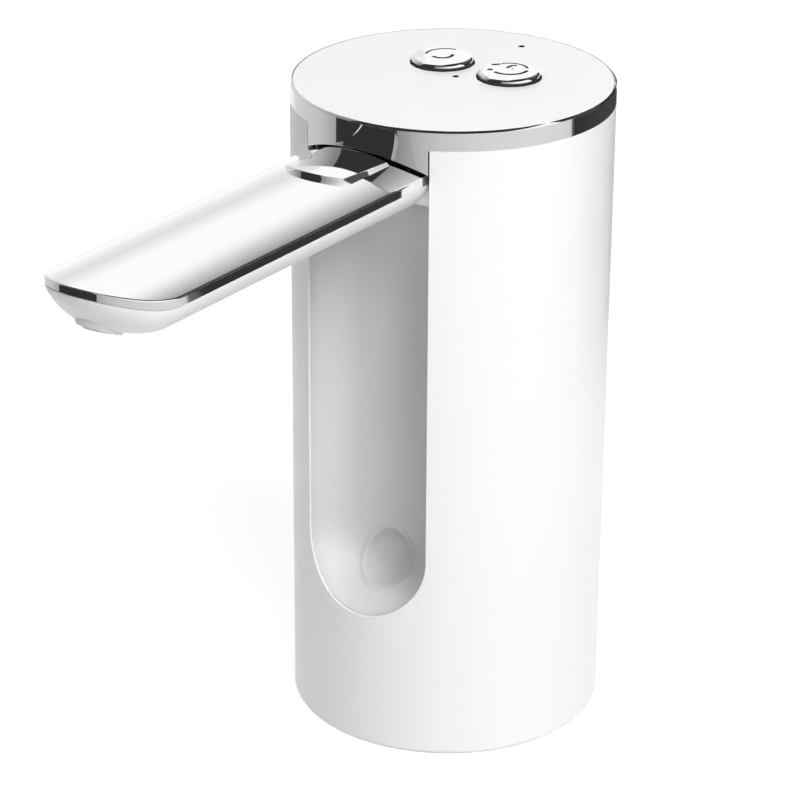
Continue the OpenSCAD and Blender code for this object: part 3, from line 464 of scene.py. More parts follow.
def make_cap():
    """A flat disc with rounded edges, two button holes and two pinholes."""
    loops = [(0.0, 0.0, CAP_R, -1, CAP_STEPS, CAP_EDGE)]
    loops += [(x, y, BUTTON_HOLE, 1, HOLE_STEPS, HOLE_EDGE) for x, y in BUTTON_AT.values()]
    loops += [(x, y, PINHOLE_R, 1, PINHOLE_STEPS, PINHOLE_EDGE) for x, y in PINHOLES]
    bm = bmesh.new()
    flats = ([], [])
    for x, y, r, sign, n, f in loops:
        rings = [(r + sign * d, TOP_Z - h) for d, h in fillet(f, 4)] + [(r, CAP_Z + CAP_LIFT)]
        turns = [FULL * i / n for i in range(n)]
        rows = []
        for rr, z in rings:
            rows.append([bm.verts.new(Vector((x + rr * cos(t), y + rr * sin(t), z)) * MM) for t in turns])
        for a, b in zip(rows, rows[1:]):
            for i in range(n):
                bm.faces.new((a[i], a[(i + 1) % n], b[(i + 1) % n], b[i]))
        for flat, row in zip(flats, (rows[0], rows[-1])):
            flat.extend(bm.edges.get((row[i], row[(i + 1) % n])) for i in range(n))
    for edges in flats:
        bmesh.ops.triangle_fill(bm, use_beauty=True, use_dissolve=False, edges=edges)
    outward(bm)
    # The disc wears the white shell with painted shade: a darker copy of the same plastic.
    dress(to_object(bm, "top_disc", 40), "housing", "white_shell", "top_cap", skin="cap_white_painted_shade")


def make_guides():
    """Two dark light guides that end just under the top of their pinholes."""
    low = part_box("light_guides")[0][2] / MM
    top = TOP_Z - GUIDE_SINK
    profile = [(0.0, top), (GUIDE_R - GUIDE_EDGE, top), (GUIDE_R, TOP_Z - GUIDE_EDGE), (GUIDE_R, low),
               (0.0, low)]
    m = Mesh()
    for at in PINHOLES:
        m.revolve(profile, 40, at)
    dress(m.build("light_guide_pair"), "housing", "black_plastic", "light_guides", skin="guide_black")


def dome_z(r):
    return BUTTON_TOP - (DOME_R - sqrt(DOME_R * DOME_R - r * r))


def make_button(name, side):
    """A chrome dome with a rolled rim, on a skirt down through the cap, painted dark as reflected shade."""
    r0 = BUTTON_R - RIM_R
    tilt = asin(r0 / DOME_R)
    dome = [(0.0, BUTTON_TOP)] + [(r, dome_z(r)) for r in span(0, r0, 14)[1:]]
    cz = dome_z(r0) - RIM_R * cos(tilt)
    cr = r0 - RIM_R * sin(tilt)
    for t in span(tilt, pi / 2, 14)[1:]:
        dome.append((cr + (BUTTON_R - cr) * sin(t), max(cz + RIM_R * cos(t), BUTTON_FOOT)))
    dome += [(BUTTON_R - DOME_LIP, BUTTON_FOOT - DOME_LIP), (0.0, BUTTON_FOOT - DOME_LIP)]
    r, top, low = BUTTON_R - SKIRT_IN, BUTTON_FOOT - SKIRT_DROP, SKIRT_LOW
    skirt = [(0.0, top), (r - SKIRT_EDGE, top), (r, top - SKIRT_TOP_EDGE), (r, low + SKIRT_LOW_EDGE),
             (r - SKIRT_EDGE, low), (0.0, low)]
    m = Mesh()
    m.revolve(skirt, DOME_STEPS, BUTTON_AT[side])
    # The skirt's dark gloss is a painted reflection of shade at the button's foot.
    dress(m.build(name + "_skirt"), name, "black_plastic", skin="skirt_painted_dark_reflection")
    m = Mesh()
    m.revolve(dome, DOME_STEPS, BUTTON_AT[side])
    dress(m.build(name + "_dome"), name, "chrome_trim", name)


def glyph(mesh, side, path, width=STROKE):
    """A thin raised line on a button's dome, along points given from the button's centre."""
    lift, sink = 0.02, 0.15
    x, y = BUTTON_AT[side]
    rows = []
    for i, (u, v) in enumerate(path):
        a, b = path[max(i - 1, 0)], path[min(i + 1, len(path) - 1)]
        tu, tv = b[0] - a[0], b[1] - a[1]
        k = hypot(tu, tv)
        nu, nv = -tv / k * width / 2, tu / k * width / 2
        left, right = (u + nu, v + nv), (u - nu, v - nv)
        row = []
        for (pu, pv), dz in ((left, -sink), (left, lift), (right, lift), (right, -sink)):
            row.append((x + pu, y + pv, dome_z(hypot(pu, pv)) + dz))
        rows.append(row)
    mesh.grid(rows, closed=True)
    mesh.face(rows[0])
    mesh.face(rows[-1])


def arc_path(cx, cy, r, start, end, n=36):
    """An arc, in a frame turned to the side from which the signs are read."""
    c, s = cos(OBJECT_TURN), sin(OBJECT_TURN)
    pts = [(cx + r * cos(radians(t)), cy + r * sin(radians(t))) for t in span(start, end, n)]
    return [(u * c - v * s, u * s + v * c) for u, v in pts]


def make_glyphs():
    """Generic signs: a cup under an arc on the left button, a timer with one hand on the right one."""
    left = Mesh()
    glyph(left, -1, arc_path(0.8, 0.2, 4.5, 170, 62))
    glyph(left, -1, arc_path(-0.1, 0.2, 2.25, 208, 368), STROKE_MID)
    dress(left.build("left_glyph", 30), "left_button", "black_plastic", skin="glyph_ink")
    right = Mesh()
    glyph(right, 1, arc_path(0.1, 0.9, 3.9, -146, -16, 50), STROKE_MID)
    glyph(right, 1, arc_path(0.1, 0.9, 3.9, 6, 116, 50))
    glyph(right, 1, [(-5.2, 1.1), (-4.55, 1.4), (-4.15, 1.95), (-3.95, 2.4)], STROKE_BOLD)
    glyph(right, 1, [(-4.1, -2.2), (-3.0, -1.85)], STROKE_BOLD)
    glyph(right, 1, [(-1.1, 0.8), (-1.2, 2.0), (-1.1, 3.0), (-0.3, 3.5)], STROKE_MID)
    glyph(right, 1, [(0.05, 0.85), (0.35, 1.05)])
    dress(right.build("right_glyph", 30), "right_button", "black_plastic", skin="glyph_ink")


# Spout cover with its thumb tab

COVER_EDGE = 0.26
NOTCH_X, NOTCH_Z = 3.6, 136.4
COVER_HOLD = COVER_EDGE + EDGE_HOLD
ACROSS = sorted([sin(t) for t in span(-pi / 2, pi / 2, 56)]
                + [s * NOTCH_X / (SPOUT_W - COVER_HOLD) for s in (-1, 1)])
ALONG = span(HINGE_Y, TIP_CY, 40)
TIP_ROWS = span(0, 1, 22)
NOTCH_TURN = pi / 2 - asin((NOTCH_Z - HINGE_Z) / (CROWN_R + CROWN_Z - HINGE_Z))
BARREL = span(0, NOTCH_TURN, 16) + span(NOTCH_TURN, pi / 2, 10)[1:]
TAB_EDGE, TAB_HOLD = 0.1, 0.04


def crown(x, h):
    return CROWN_Z + sqrt((CROWN_R - h) ** 2 - x * x)


def barrel(x, h, turn):
    r = crown(x, h) - HINGE_Z
    return (x, HINGE_Y + r * sin(turn), HINGE_Z + r * cos(turn))


def cover_face(mesh, d, h):
    """The crowned plate at depth h, its outline drawn in by d, and the quarter barrel behind the hinge."""
    w = SPOUT_W - d
    xs = [w * s for s in ACROSS]
    rows = [[(x, y, crown(x, h)) for x in xs] for y in ALONG]
    for t in TIP_ROWS[1:]:
        rows.append([(x, TIP_CY - t * tip_y(x / w, w), crown(x, h)) for x in xs])
    mesh.grid(rows)
    turned = [[barrel(x, h, t) for x in xs] for t in BARREL]

    def in_notch(i, j):
        return BARREL[i] > NOTCH_TURN - TINY and abs(ACROSS[j] + ACROSS[j + 1]) / 2 * SPOUT_W < NOTCH_X

    mesh.grid(turned, skip=in_notch)
    return turned


def cover_line(d, h):
    """The cover's outline from the barrel's end round the tip and back to the barrel's other end."""
    w = SPOUT_W - d
    left = [barrel(-w, h, t) for t in reversed(BARREL)] + [(-w, y, crown(w, h)) for y in ALONG[1:]]
    tip = [(w * s, TIP_CY - tip_y(s, w), crown(w * s, h)) for s in ACROSS[1:-1]]
    right = [(w, y, crown(w, h)) for y in reversed(ALONG[1:])] + [barrel(w, h, t) for t in BARREL]
    return left + tip + right


def make_cover():
    m = Mesh()
    edge = fillet(COVER_EDGE)
    top = cover_face(m, edge[0][0], 0.0)
    low = cover_face(m, 0.0, COVER_WALL)
    profile = edge + [(0.0, COVER_WALL)]
    m.grid([cover_line(d, h) for d, h in profile])
    for side in (-1, 1):
        m.face([barrel(side * (SPOUT_W - d), h, pi / 2) for d, h in profile])
    inside = [j for j, s in enumerate(ACROSS) if abs(s) * (SPOUT_W - COVER_HOLD) < NOTCH_X + TINY]
    j0, j1 = inside[0], inside[-1]
    row = BARREL.index(NOTCH_TURN)
    m.grid([top[-1][:j0 + 1], low[-1][:j0 + 1]])
    m.grid([top[-1][j1:], low[-1][j1:]])
    m.grid([top[row][j0:j1 + 1], low[row][j0:j1 + 1]])
    for j in (j0, j1):
        m.grid([[r[j] for r in top[row:]], [r[j] for r in low[row:]]])
    add_tab(m)
    dress(m.build("spout_top"), "spout", "chrome_trim", "spout_cover")


def add_tab(m):
    """A thumb tab on the cover: a plateau that rises a little to its curved front wall, with sloping
    sides and a root in the cover."""
    mid_y = TAB_TIP + TAB_ARC
    across, along = span(-1, 1, 40), span(0, 1, 24)

    def rise(y):
        return lerp(TAB_BACK, TAB_RISE, (TAB_Y - y) / (TAB_Y - TAB_TIP))

    def front(x, d):
        return mid_y - sqrt((TAB_ARC - d) ** 2 - x * x)

    def half(y):
        """Half the width of the flat top, where the sloping side reaches it."""
        return lerp(TAB_FOOT, TAB_W, rise(y) / TAB_RISE)

    def corner(d):
        """Where the front wall meets the side of the top."""
        lo, hi = mid_y - TAB_ARC, mid_y
        for _ in range(HALVINGS):
            y = (lo + hi) / 2
            lo, hi = (y, hi) if front(min(half(y) - d, TAB_ARC - d), d) > y else (lo, y)
        return lo

    def outline(width, end, d=0.0):
        """Down the left side to its end, along the front wall and back up the right side."""
        left = [(-(width(y) - d), y) for y in [lerp(TAB_Y, end, t) for t in along]]
        w = width(end) - d
        wall = [(w * k, front(w * k, d)) for k in across[1:-1]]
        return left + wall + [(-x, y) for x, y in reversed(left)]

    def on_top(x, y, h=0.0):
        return (x, y, crown(x, 0.0) + rise(y) - h)

    def on_root(x, y):
        return (x, y, crown(x, TAB_ROOT))

    def fill(line, place):
        """Covers an outline with rows from its back edge to its front wall. Returns the back edge."""
        n = len(along)
        wall = line[n - 1:len(line) - n + 1]
        sheet = []
        for i, t in enumerate(along):
            a, b = line[i][0], line[-1 - i][0]
            row = []
            for x, y, _ in wall:
                u = (x - wall[0][0]) / (wall[-1][0] - wall[0][0])
                row.append(place(lerp(a, b, u), lerp(TAB_Y, y, t)))
            sheet.append(row)
        sheet[-1] = wall
        m.grid(sheet)
        return sheet[0]

    rows = []
    for d, h in fillet(TAB_EDGE, 3, TAB_HOLD):
        rows.append([on_top(x, y, h) for x, y in outline(half, corner(d), d)])
    foot = outline(lambda y: TAB_FOOT, front(TAB_FOOT, 0.0))
    root = [on_root(x, y) for x, y in foot]
    m.grid(rows + [[(x, y, crown(x, 0.0)) for x, y in foot], root])
    m.grid([fill(rows[0], on_top), fill(root, on_root)])
    for side in (0, -1):
        x, y = foot[side]
        m.face([r[side] for r in rows] + [(x, y, crown(x, 0.0)), on_root(x, y)])


# Spoon-shaped lower shell, its nozzle and the recess it folds into

RIM_IN = 9.5
RAYS = span(0, pi / 2, 40)
RAY_REACH, DEPTH_LEAST = 30.0, 0.3
SHELL_RIM = CROWN_R - COVER_WALL - 0.2
HUB_IN, HUB_OUT, HUB_R, HUB_EDGE, HUB_STEPS = 9.8, 14.9, 3.1, 0.2, 48
NOZZLE_SHIFT = Matrix.Translation(Vector((0, NOZZLE_Y, NOZZLE_Z)) * MM)
NOZZLE_PLACE = NOZZLE_SHIFT @ Matrix.Rotation(-NOZZLE_TILT, 4, "X")
NOZZLE_AXIS = Vector((0.0, -sin(NOZZLE_TILT), -cos(NOZZLE_TILT)))
NOZZLE_R, NOZZLE_STEM, NOZZLE_BORE = 4.95, 4.0, 3.0  # collar, its stem inside the shell, and the bore
NOZZLE_UP, NOZZLE_STEM_UP = 3.0, 5.0  # how far collar and stem reach up into the shell
NOZZLE_SIDE = ((NOZZLE_R, 0.2), (4.9, 0.05), (4.6, -0.5))  # (r, height) down the collar's side
ROLL_R, ROLL_OUT, ROLL_DROP, ROLL = 4.2, 0.35, 0.6, 0.3
CUT_R, CUT_LOW, CUT_HIGH, CUT_STEPS = 4.05, -24.0, -10.0, 64
CUT_TURN = 0.045  # keeps the cutter's edges off the shell's middle line
DIMPLE_RIM, DIMPLE_FLOOR, DIMPLE_DEPTH = 6.5, 4.9, 1.9
RIDGE, RIDGE_W = 0.55, 0.65
DISH, DISH_W = 2.2, 12.0
DISH_Z, DISH_Z_FADE = 134.0, 4.0
DISH_Y, DISH_Y_FADE = HINGE_Y - 4.0, 14.0
TRAY_R, TRAY_END, TRAY_WALL = 34.5, 129.5, 0.6
TRAY_MID = Vector((0, -22.8, 90)) * MM


def spoon(grow, rim_r, y_start, n_along, n_arc, power=TIP_POWER):
    """Rows of points over the spout's smooth underside, grown by a gap: side and bottom in one sheet.
    Each row runs round the outline; the first is the rim, and later ones go down to the bottom's middle."""
    w = SPOUT_W + grow
    stations = [((-w, y), (-1.0, 0.0)) for y in span(y_start, TIP_CY, n_along)[:-1]]
    for t in span(-pi / 2, pi / 2, n_arc):
        s = abs(sin(t)) ** (2 / power) * (1 if t > 0 else -1)
        stations.append(((w * s, TIP_CY - tip_y(s, w, power)), (sin(t), -cos(t))))
    stations += [((w, y), (1.0, 0.0)) for y in span(TIP_CY, y_start, n_along)[1:]]
    out = np.array([s[0] for s in stations])
    way = np.array([s[1] for s in stations])

    def bottom(y):
        dy = np.clip(SWEEP_Y - y, 0.0, SWEEP_R + grow)
        return SWEEP_Z - np.sqrt((SWEEP_R + grow) ** 2 - dy * dy)

    def rim_z(x, r):
        return CROWN_Z + np.sqrt(r ** 2 - np.clip(x, -w, w) ** 2)

    def bulge(u):
        """How far the side has come in at a depth of u, from 0 at the rim to 1 at the bottom."""
        at = [1 - np.sqrt(1 - ((SIDE_LEAN + k) / (SIDE_LEAN + 1)) ** 2) for k in (u, 0.0)]
        return (at[0] - at[1]) / (1 - at[1])

    def inside(x, y, z):
        ahead = np.maximum(TIP_CY - y, 0.0)
        plan = (np.abs(x) ** power + ahead ** power) ** (1 / power) - w
        floor, top = bottom(y), rim_z(x, SHELL_RIM)
        deep = np.maximum(top - floor, DEPTH_LEAST)
        come_in = SIDE_IN * np.minimum(1.0, deep / SIDE_FULL) * bulge(np.clip((top - z) / deep, 0.0, 1.0))
        return (-plan > come_in) & (z > floor)

    rim = rim_z(out[:, 0], rim_r)
    start = out - way * RIM_IN
    sheet = []
    for t in RAYS:
        lo, hi = np.zeros(len(out)), np.full(len(out), RAY_REACH)
        for _ in range(HALVINGS):
            k = (lo + hi) / 2
            x, y = (start[:, i] + way[:, i] * k * cos(t) for i in (0, 1))
            ok = inside(x, y, rim - k * sin(t))
            lo, hi = np.where(ok, k, lo), np.where(ok, hi, k)
        sheet.append(np.c_[start + way * (lo * cos(t))[:, None], rim - lo * sin(t)])
    middle = []
    for t in span(0, 1, 18)[1:]:
        x = start[:, 0] * (1 - t)
        y = np.where(out[:, 1] < TIP_CY, lerp(start[:, 1], TIP_CY, t), start[:, 1])
        middle.append(np.c_[x, y, bottom(y)])
    return sheet + middle


def make_shell():
    """The white lower half of the spout: a smooth spoon, closed on top, with a hole for the nozzle."""
    m = Mesh()
    sheet = [[tuple(p) for p in row] for row in spoon(0.0, SHELL_RIM, HINGE_Y, 34, 90)]
    m.grid(sheet)
    rim = sheet[0]
    half = len(rim) // 2
    lid = []
    for a, b in zip(rim[:half + 1], reversed(rim[half:])):
        xs = [b[0] * s for s in span(-1, 1, 24)]
        lid.append([(x, a[1], CROWN_Z + sqrt(SHELL_RIM ** 2 - x * x)) for x in xs])
    m.grid(lid)
    root = [row[0] for row in sheet] + [row[-1] for row in reversed(sheet[:-1])]
    m.face(root + lid[0][::-1][1:-1])
    obj = m.build("spout_lower")
    tool = Mesh()
    tool.revolve([(0.0, CUT_LOW), (CUT_R, CUT_LOW), (CUT_R, CUT_HIGH), (0.0, CUT_HIGH)], CUT_STEPS)
    cutter = tool.build("nozzle_hole_tool", move=NOZZLE_PLACE @ Matrix.Rotation(CUT_TURN, 4, "Z"))
    cut = obj.modifiers.new("hole", "BOOLEAN")
    cut.object, cut.operation, cut.solver = cutter, "DIFFERENCE", "EXACT"
    apply_modifiers(obj, 40)
    bpy.data.objects.remove(cutter)
    dress(obj, "spout", "white_shell", "spout_shell")


def make_hubs():
    """Two hinge hubs at the spout's root."""
    profile = ((HUB_IN, 0.0), (HUB_IN, HUB_R - HUB_EDGE), (HUB_IN + HUB_EDGE, HUB_R),
               (HUB_OUT - HUB_EDGE, HUB_R), (HUB_OUT, HUB_R - HUB_EDGE), (HUB_OUT, 0.0))
    turns = [FULL * i / HUB_STEPS for i in range(HUB_STEPS)]
    m = Mesh()
    for side in (-1, 1):
        rows = []
        for x, r in profile:
            rows.append([(side * x, HINGE_Y + r * cos(t), HINGE_Z + r * sin(t)) for t in turns])
        m.grid(rows, closed=True)
    dress(m.build("spout_hubs"), "spout", "white_shell")


def make_nozzle():
    """A low soft collar round the outlet, with a rolled rim and a bore that goes on into the shell."""
    s = -NOZZLE_S
    lip, inner = s - ROLL_DROP, NOZZLE_BORE + ROLL
    profile = [(NOZZLE_R, s + NOZZLE_UP)] + [(r, s + h) for r, h in NOZZLE_SIDE]
    profile += [(ROLL_R + ROLL_OUT * cos(t), lip - ROLL * sin(t)) for t in span(0.25, pi / 2, 5)]
    profile += [(inner - ROLL * sin(t), lip - ROLL * cos(t)) for t in span(0.0, pi / 2, 5)]
    profile += [(NOZZLE_BORE, s + NOZZLE_STEM_UP), (NOZZLE_STEM, s + NOZZLE_STEM_UP)]
    profile += [(NOZZLE_STEM, s + NOZZLE_UP), (NOZZLE_R, s + NOZZLE_UP)]
    m = Mesh()
    m.revolve(profile)
    dress(m.build("nozzle_collar", 35, NOZZLE_PLACE), "spout", "silicone", "nozzle")


def folded(p):
    """Where a point of the spout lies once the spout is folded down."""
    return (p[0], HINGE_Y - (p[2] - HINGE_Z), HINGE_Z + (p[1] - HINGE_Y))


def ease(t):
    """From 0 to 1 with a soft start and end."""
    return t * t * t * (t * (6 * t - 15) + 10)


def make_trough():
    """The recess in the body's front: the spout's own form with a gap round it, dished along its middle,
    and a dimple for the nozzle with a low ridge round it."""
    m = Mesh()
    axis = np.array(NOZZLE_AXIS)
    centre = np.array((0.0, NOZZLE_Y, NOZZLE_Z))
    rows = []
    for row in spoon(FOLD_GAP, TRAY_R, HINGE_Y + TRAY_END - HINGE_Z, 60, 150, 2.0):
        rel = row - centre
        deep = rel @ axis
        far = np.linalg.norm(rel - np.outer(deep, axis), axis=1)
        t = np.clip((DIMPLE_RIM - far) / (DIMPLE_RIM - DIMPLE_FLOOR), 0.0, 1.0)
        push = DIMPLE_DEPTH * ease(t) - RIDGE * np.exp(-((far - DIMPLE_RIM) / RIDGE_W) ** 2)
        push = np.where(deep > 0, push, 0.0)
        dish = DISH * np.clip(1 - (row[:, 0] / DISH_W) ** 2, 0.0, 1.0) ** 2
        dish *= np.clip((DISH_Z - row[:, 2]) / DISH_Z_FADE, 0.0, 1.0)
        dish *= np.clip((DISH_Y - row[:, 1]) / DISH_Y_FADE, 0.0, 1.0)
        sunk = row - dish[:, None] * np.array((0.0, 0.0, 1.0))
        rows.append([folded(p) for p in sunk + push[:, None] * axis])
    m.grid(rows)
    return m.build("recess_trough", 50)


def make_bay():
    """The hollow above the trough, round the hinge's barrel."""
    m = Mesh()
    start = asin((TRAY_END - HINGE_Z) / BAY_R)
    front = -sqrt(BODY_IN ** 2 - BAY_W ** 2)
    floor_y = folded((0.0, 0.0, SWEEP_Z - SWEEP_R - FOLD_GAP))[1]
    line = [(y, TRAY_END) for y in span(floor_y, HINGE_Y + BAY_R * cos(start), 4)[:-1]]
    line += [(HINGE_Y + BAY_R * cos(t), HINGE_Z + BAY_R * sin(t)) for t in span(start, pi / 2, 30)]
    line += [(y, HINGE_Z + BAY_R) for y in span(HINGE_Y, front, 4)[1:]]
    m.grid([[(BAY_W * s, y, z) for s in span(-1, 1, 8)] for y, z in line])
    for side in (-1, 1):
        m.face([(side * BAY_W, y, z) for y, z in line + [(front, TRAY_END)]])
    return m.build("recess_bay", 30)


def make_tray():
    """Trough and bay, each with a wall that is added behind its visible face."""
    trough, bay = make_trough(), make_bay()
    for obj in (trough, bay):
        wall = obj.modifiers.new("wall", "SOLIDIFY")
        wall.thickness, wall.use_even_offset = TRAY_WALL * MM, False
        bm = bmesh.new()
        bm.from_mesh(obj.data)
        nearest = min(bm.faces, key=lambda f: (f.calc_center_median() - TRAY_MID).length)
        wall.offset = 1.0 if nearest.normal.y > 0 else -1.0
        bm.free()
        apply_modifiers(obj, 50)
    # Trough and bay wear the white plastic painted grey: painted shade in the recess.
    dress(bay, "housing", "white_shell", skin="recess_painted_shade")
    dress(trough, "housing", "white_shell", "recess_tray", skin="recess_painted_shade")


# Soft parts

HOSE_BORE, HOSE_BEND, HOSE_STEPS = 2.0, 5.5, 40


def make_hinge_hose():
    """The short soft hose across the hinge: a straight tube that stays put when the spout folds."""
    (_, y0, z0), (_, y1, z1) = [[c / MM for c in v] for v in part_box("hinge_hose")]
    r, z = (z1 - z0) / 2, (z0 + z1) / 2
    turns = [FULL * i / HOSE_STEPS for i in range(HOSE_STEPS)]
    rows = []
    for rr, ys in ((r, span(y0, y1, HOSE_STEPS)), (HOSE_BORE, span(y1, y0, HOSE_STEPS))):
        for y in ys:
            rows.append([(rr * cos(t), y, z + rr * sin(t)) for t in turns])
    m = Mesh()
    m.grid(rows + rows[:1], closed=True)
    obj = m.build("hinge_hose_soft", 50)
    dress(obj, None, "clear_hose", "hinge_hose")
    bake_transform(obj)


make_body()
make_ring()
make_cap()
make_guides()
make_button("left_button", -1)
make_button("right_button", 1)
make_glyphs()
make_cover()
make_shell()
make_hubs()
make_nozzle()
make_tray()
make_hinge_hose()

# Camera, floor and light

CAM_AT = (354.23, -521.24, 357.17)
CAM_PITCH, CAM_YAW, CAM_ROLL = radians(24.426), radians(-0.998), radians(0.34)
CAM_LENS, CAM_SENSOR = 139.14, 36.0
CARD_MID, LAMP_AIM = Vector((0, -45, 140)) * MM, Vector((0, -30, 90)) * MM
CARD_FAR = 3.0  # metres
CARD_LIFT = 0.4
AMBIENT = 0.36
FLOOR_HALF = 4000
FLOOR_SHADE, FLOOR_GLOW, FLOOR_FAR = 0.62, 0.66, 0.84
GLOW_FROM, GLOW_TO = 0.35, 1.0  # metres from the object, over which the floor's glow rises
DARK = 0.03
WHITE = (1, 1, 1, 1)


def make_camera():
    """Placed by fitting the body's outline: angles are measured in a frame turned to face the camera."""
    fw = Vector((sin(CAM_YAW) * cos(CAM_PITCH), cos(CAM_YAW) * cos(CAM_PITCH), -sin(CAM_PITCH)))
    r = Vector((cos(CAM_YAW), -sin(CAM_YAW), 0))
    u = r.cross(fw)
    right = cos(CAM_ROLL) * r + sin(CAM_ROLL) * u
    up = cos(CAM_ROLL) * u - sin(CAM_ROLL) * r
    turn = Matrix.Rotation(OBJECT_TURN, 3, "Z")
    m = Matrix((turn @ right, turn @ up, turn @ -fw)).transposed().to_4x4()
    m.translation = Vector(CAM_AT) * MM
    data = bpy.data.cameras.new("camera")
    data.lens, data.sensor_width, data.clip_start, data.clip_end = CAM_LENS, CAM_SENSOR, 0.05, 20.0
    cam = link("camera", data)
    cam.matrix_world = m
    bpy.context.scene.camera = cam


def heading(az, el):
    """A direction: azimuth from the front towards the right, and elevation, in degrees."""
    a, e = radians(az), radians(el)
    return Vector((sin(a) * cos(e), -cos(a) * cos(e), sin(e)))


def card(name, rows, stops, along, soft):
    """A studio card that only mirrors see, and soft light too where asked.
    Its stops are (place, brightness) along one of its sides."""
    n, k = len(rows), len(rows[0])
    me = bpy.data.meshes.new(name)
    corners = [i * k + j for i in range(n - 1) for j in range(k - 1)]
    faces = [(c, c + 1, c + k + 1, c + k) for c in corners]
    me.from_pydata([Vector(p) * MM for row in rows for p in row], [], faces)
    uv = me.uv_layers.new(name="card")
    for loop in me.loops:
        i, j = divmod(loop.vertex_index, k)
        uv.data[loop.index].uv = (j / (k - 1), i / (n - 1))
    mat = bpy.data.materials.new(name)
    mat.use_nodes = True
    nt = mat.node_tree
    nt.nodes.clear()
    out = nt.nodes.new("ShaderNodeOutputMaterial")
    glow = nt.nodes.new("ShaderNodeEmission")
    where = nt.nodes.new("ShaderNodeUVMap")
    part = nt.nodes.new("ShaderNodeSeparateXYZ")
    ramp = nt.nodes.new("ShaderNodeValToRGB")
    nt.links.new(where.outputs["UV"], part.inputs[0])
    nt.links.new(part.outputs[along], ramp.inputs["Fac"])
    nt.links.new(ramp.outputs["Color"], glow.inputs["Color"])
    nt.links.new(glow.outputs[0], out.inputs["Surface"])
    points = ramp.color_ramp.elements
    while len(points) < len(stops):
        points.new(0.5)
    for e, (at, value) in zip(points, stops):
        e.position = at
        e.color = (value, value, value, 1)
    me.materials.append(mat)
    obj = link(name, me)
    obj.visible_camera = obj.visible_shadow = False
    obj.visible_diffuse = soft
    obj.visible_transmission = obj.visible_volume_scatter = False


def share(stops, lo, hi):
    """Stops with their places as shares of the way from lo to hi."""
    return [((at - lo) / (hi - lo), value) for at, value in stops]


def sky_card(name, az, el, stops, along="X", soft=False):
    """A card on a wide sphere, between two azimuths and two elevations, which its stops are given in."""
    rows = [[(CARD_MID + heading(a, e) * CARD_FAR) / MM for a in span(*az, 48)] for e in span(*el, 16)]
    card(name, rows, share(stops, *(az if along == "X" else el)), along, soft)


def floor_card(name, az, r, stops):
    """A card that lies on the floor, between two azimuths and two distances; its stops are azimuths."""
    turns = [radians(a) for a in span(*az, 120)]
    rows = [[(rr * sin(a), -rr * cos(a), CARD_LIFT) for a in turns] for rr in r]
    card(name, rows, share(stops, *az), "X", False)


def seen_directly(nt):
    """1 for camera, glossy and transmission rays, 0 for the rest."""
    path = nt.nodes.new("ShaderNodeLightPath")
    total = path.outputs["Is Camera Ray"]
    for other in ("Is Glossy Ray", "Is Transmission Ray"):
        add = nt.nodes.new("ShaderNodeMath")
        add.operation = "MAXIMUM"
        nt.links.new(total, add.inputs[0])
        nt.links.new(path.outputs[other], add.inputs[1])
        total = add.outputs[0]
    return total


def make_world():
    """A white surround that gives less soft light than it shows."""
    world = bpy.data.worlds.new("studio")
    bpy.context.scene.world = world
    world.use_nodes = True
    nt = world.node_tree
    soft = nt.nodes["Background"]
    soft.inputs["Color"].default_value = WHITE
    soft.inputs["Strength"].default_value = AMBIENT
    white = nt.nodes.new("ShaderNodeBackground")
    white.inputs["Color"].default_value = WHITE
    white.inputs["Strength"].default_value = 1.0
    mix = nt.nodes.new("ShaderNodeMixShader")
    nt.links.new(seen_directly(nt), mix.inputs["Fac"])
    nt.links.new(soft.outputs[0], mix.inputs[1])
    nt.links.new(white.outputs[0], mix.inputs[2])
    nt.links.new(mix.outputs[0], nt.nodes["World Output"].inputs["Surface"])


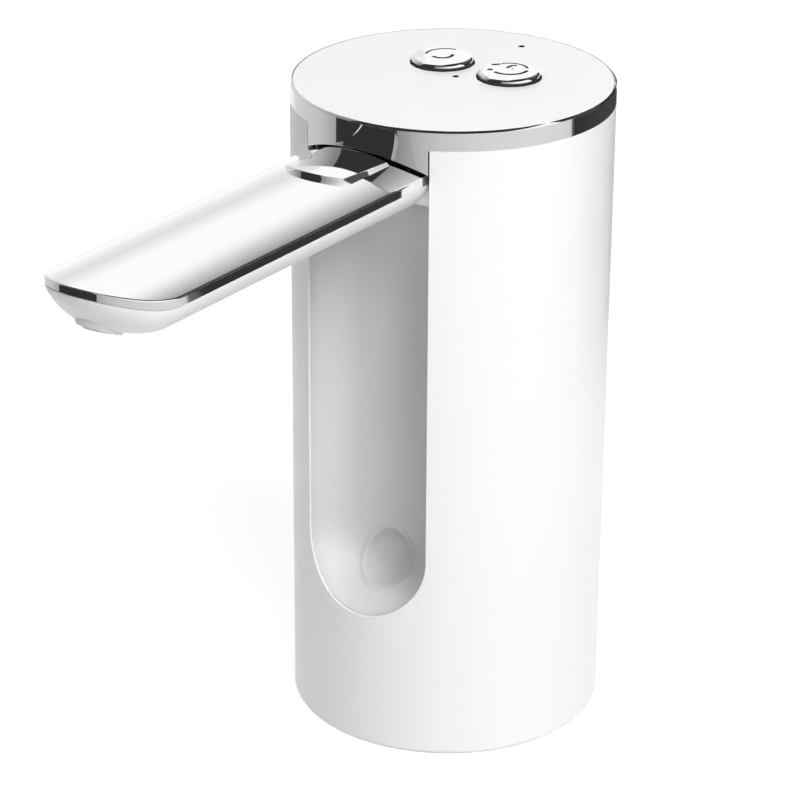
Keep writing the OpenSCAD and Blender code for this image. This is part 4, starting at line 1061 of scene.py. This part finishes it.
def make_floor():
    """A white floor with a glow that gives no soft light and rises away from the object."""
    m = Mesh()
    steps = span(-FLOOR_HALF, FLOOR_HALF, 8)
    m.grid([[(x, y, 0.0) for x in steps] for y in steps])
    floor = m.build("floor")
    mat = bpy.data.materials.new("floor_white")
    mat.use_nodes = True
    nt = mat.node_tree
    nt.nodes.clear()
    out = nt.nodes.new("ShaderNodeOutputMaterial")
    matt = nt.nodes.new("ShaderNodeBsdfDiffuse")
    matt.inputs["Color"].default_value = (FLOOR_SHADE, FLOOR_SHADE, FLOOR_SHADE, 1)
    glow = nt.nodes.new("ShaderNodeEmission")
    glow.inputs["Color"].default_value = WHITE
    level = nt.nodes.new("ShaderNodeMath")
    level.operation = "MULTIPLY"
    place = nt.nodes.new("ShaderNodeTexCoord")
    away = nt.nodes.new("ShaderNodeVectorMath")
    away.operation = "LENGTH"
    rise = nt.nodes.new("ShaderNodeMapRange")
    rise.inputs["From Min"].default_value = GLOW_FROM
    rise.inputs["From Max"].default_value = GLOW_TO
    rise.inputs["To Min"].default_value = FLOOR_GLOW
    rise.inputs["To Max"].default_value = FLOOR_FAR
    nt.links.new(place.outputs["Object"], away.inputs[0])
    nt.links.new(away.outputs["Value"], rise.inputs["Value"])
    nt.links.new(rise.outputs["Result"], level.inputs[1])
    nt.links.new(seen_directly(nt), level.inputs[0])
    nt.links.new(level.outputs[0], glow.inputs["Strength"])
    add = nt.nodes.new("ShaderNodeAddShader")
    nt.links.new(matt.outputs[0], add.inputs[0])
    nt.links.new(glow.outputs[0], add.inputs[1])
    nt.links.new(add.outputs[0], out.inputs["Surface"])
    floor.data.materials.append(mat)


def lamp(name, az, el, far, size, power):
    """A round soft lamp that mirrors don't see; far and size are in metres."""
    data = bpy.data.lights.new(name, "AREA")
    data.shape, data.size, data.energy = "DISK", size, power
    obj = link(name, data)
    way = heading(az, el)
    obj.location = LAMP_AIM + way * far
    obj.rotation_euler = way.to_track_quat("Z", "Y").to_euler()
    obj.visible_glossy = False


make_camera()
make_world()
make_floor()
lamp("key", 62, 46, 1.6, 1.0, 23.5)
lamp("fill", -84, 24, 1.8, 1.2, 4.6)
lamp("back", 214, 15, 1.8, 1.2, 4.5)
sky_card("card_front_left", (-130, 4.5), (0, 47),
         [(-130, 0.80), (-95, 0.58), (-75, 0.42), (-60, 0.26), (-52.5, 0.22), (-52, DARK), (4.5, DARK)],
         soft=True)
sky_card("card_front_right", (4.5, 70), (0, 47),
         [(4.5, 0.25), (12, 0.32), (26, 0.44), (40, 0.62), (55, 0.85), (70, 1.0)])
sky_card("card_right", (124, 192), (0, 20), [(124, DARK), (192, DARK)])
sky_card("card_behind", (124, 205), (20, 66),
         [(124, DARK), (176, 0.10), (184, 0.26), (188, 0.37), (192, 0.53), (196, 0.68), (200, 0.87),
          (205, 1.0)])
sky_card("card_behind_low", (215.5, 256), (0, 25),
         [(0, 0.97), (5, 0.9), (10, 0.8), (15, 0.775), (20, 0.88), (25, 1.0)], "Y")
sky_card("card_above", (-72, 200), (47, 90), [(-72, DARK), (200, DARK)])
floor_card("card_floor", (-180, 180), (230, 3500),
           [(-180, 0.055), (-174, 0.055), (-162, 0.07), (-154, 0.4), (-148, 0.92), (-140, 0.97),
            (-125, 0.97), (-112, 0.78), (-104, 0.65), (-69, 0.54), (-56, 0.40), (-52.5, 0.38), (-52, DARK),
            (4.5, DARK), (5, 0.38), (12, 0.46), (26, 0.57), (46, 0.64), (87, 0.72), (112, 0.68),
            (122, 0.62), (122.5, DARK), (170, 0.055), (180, 0.055)])
bpy.context.scene.view_settings.view_transform = "Standard"
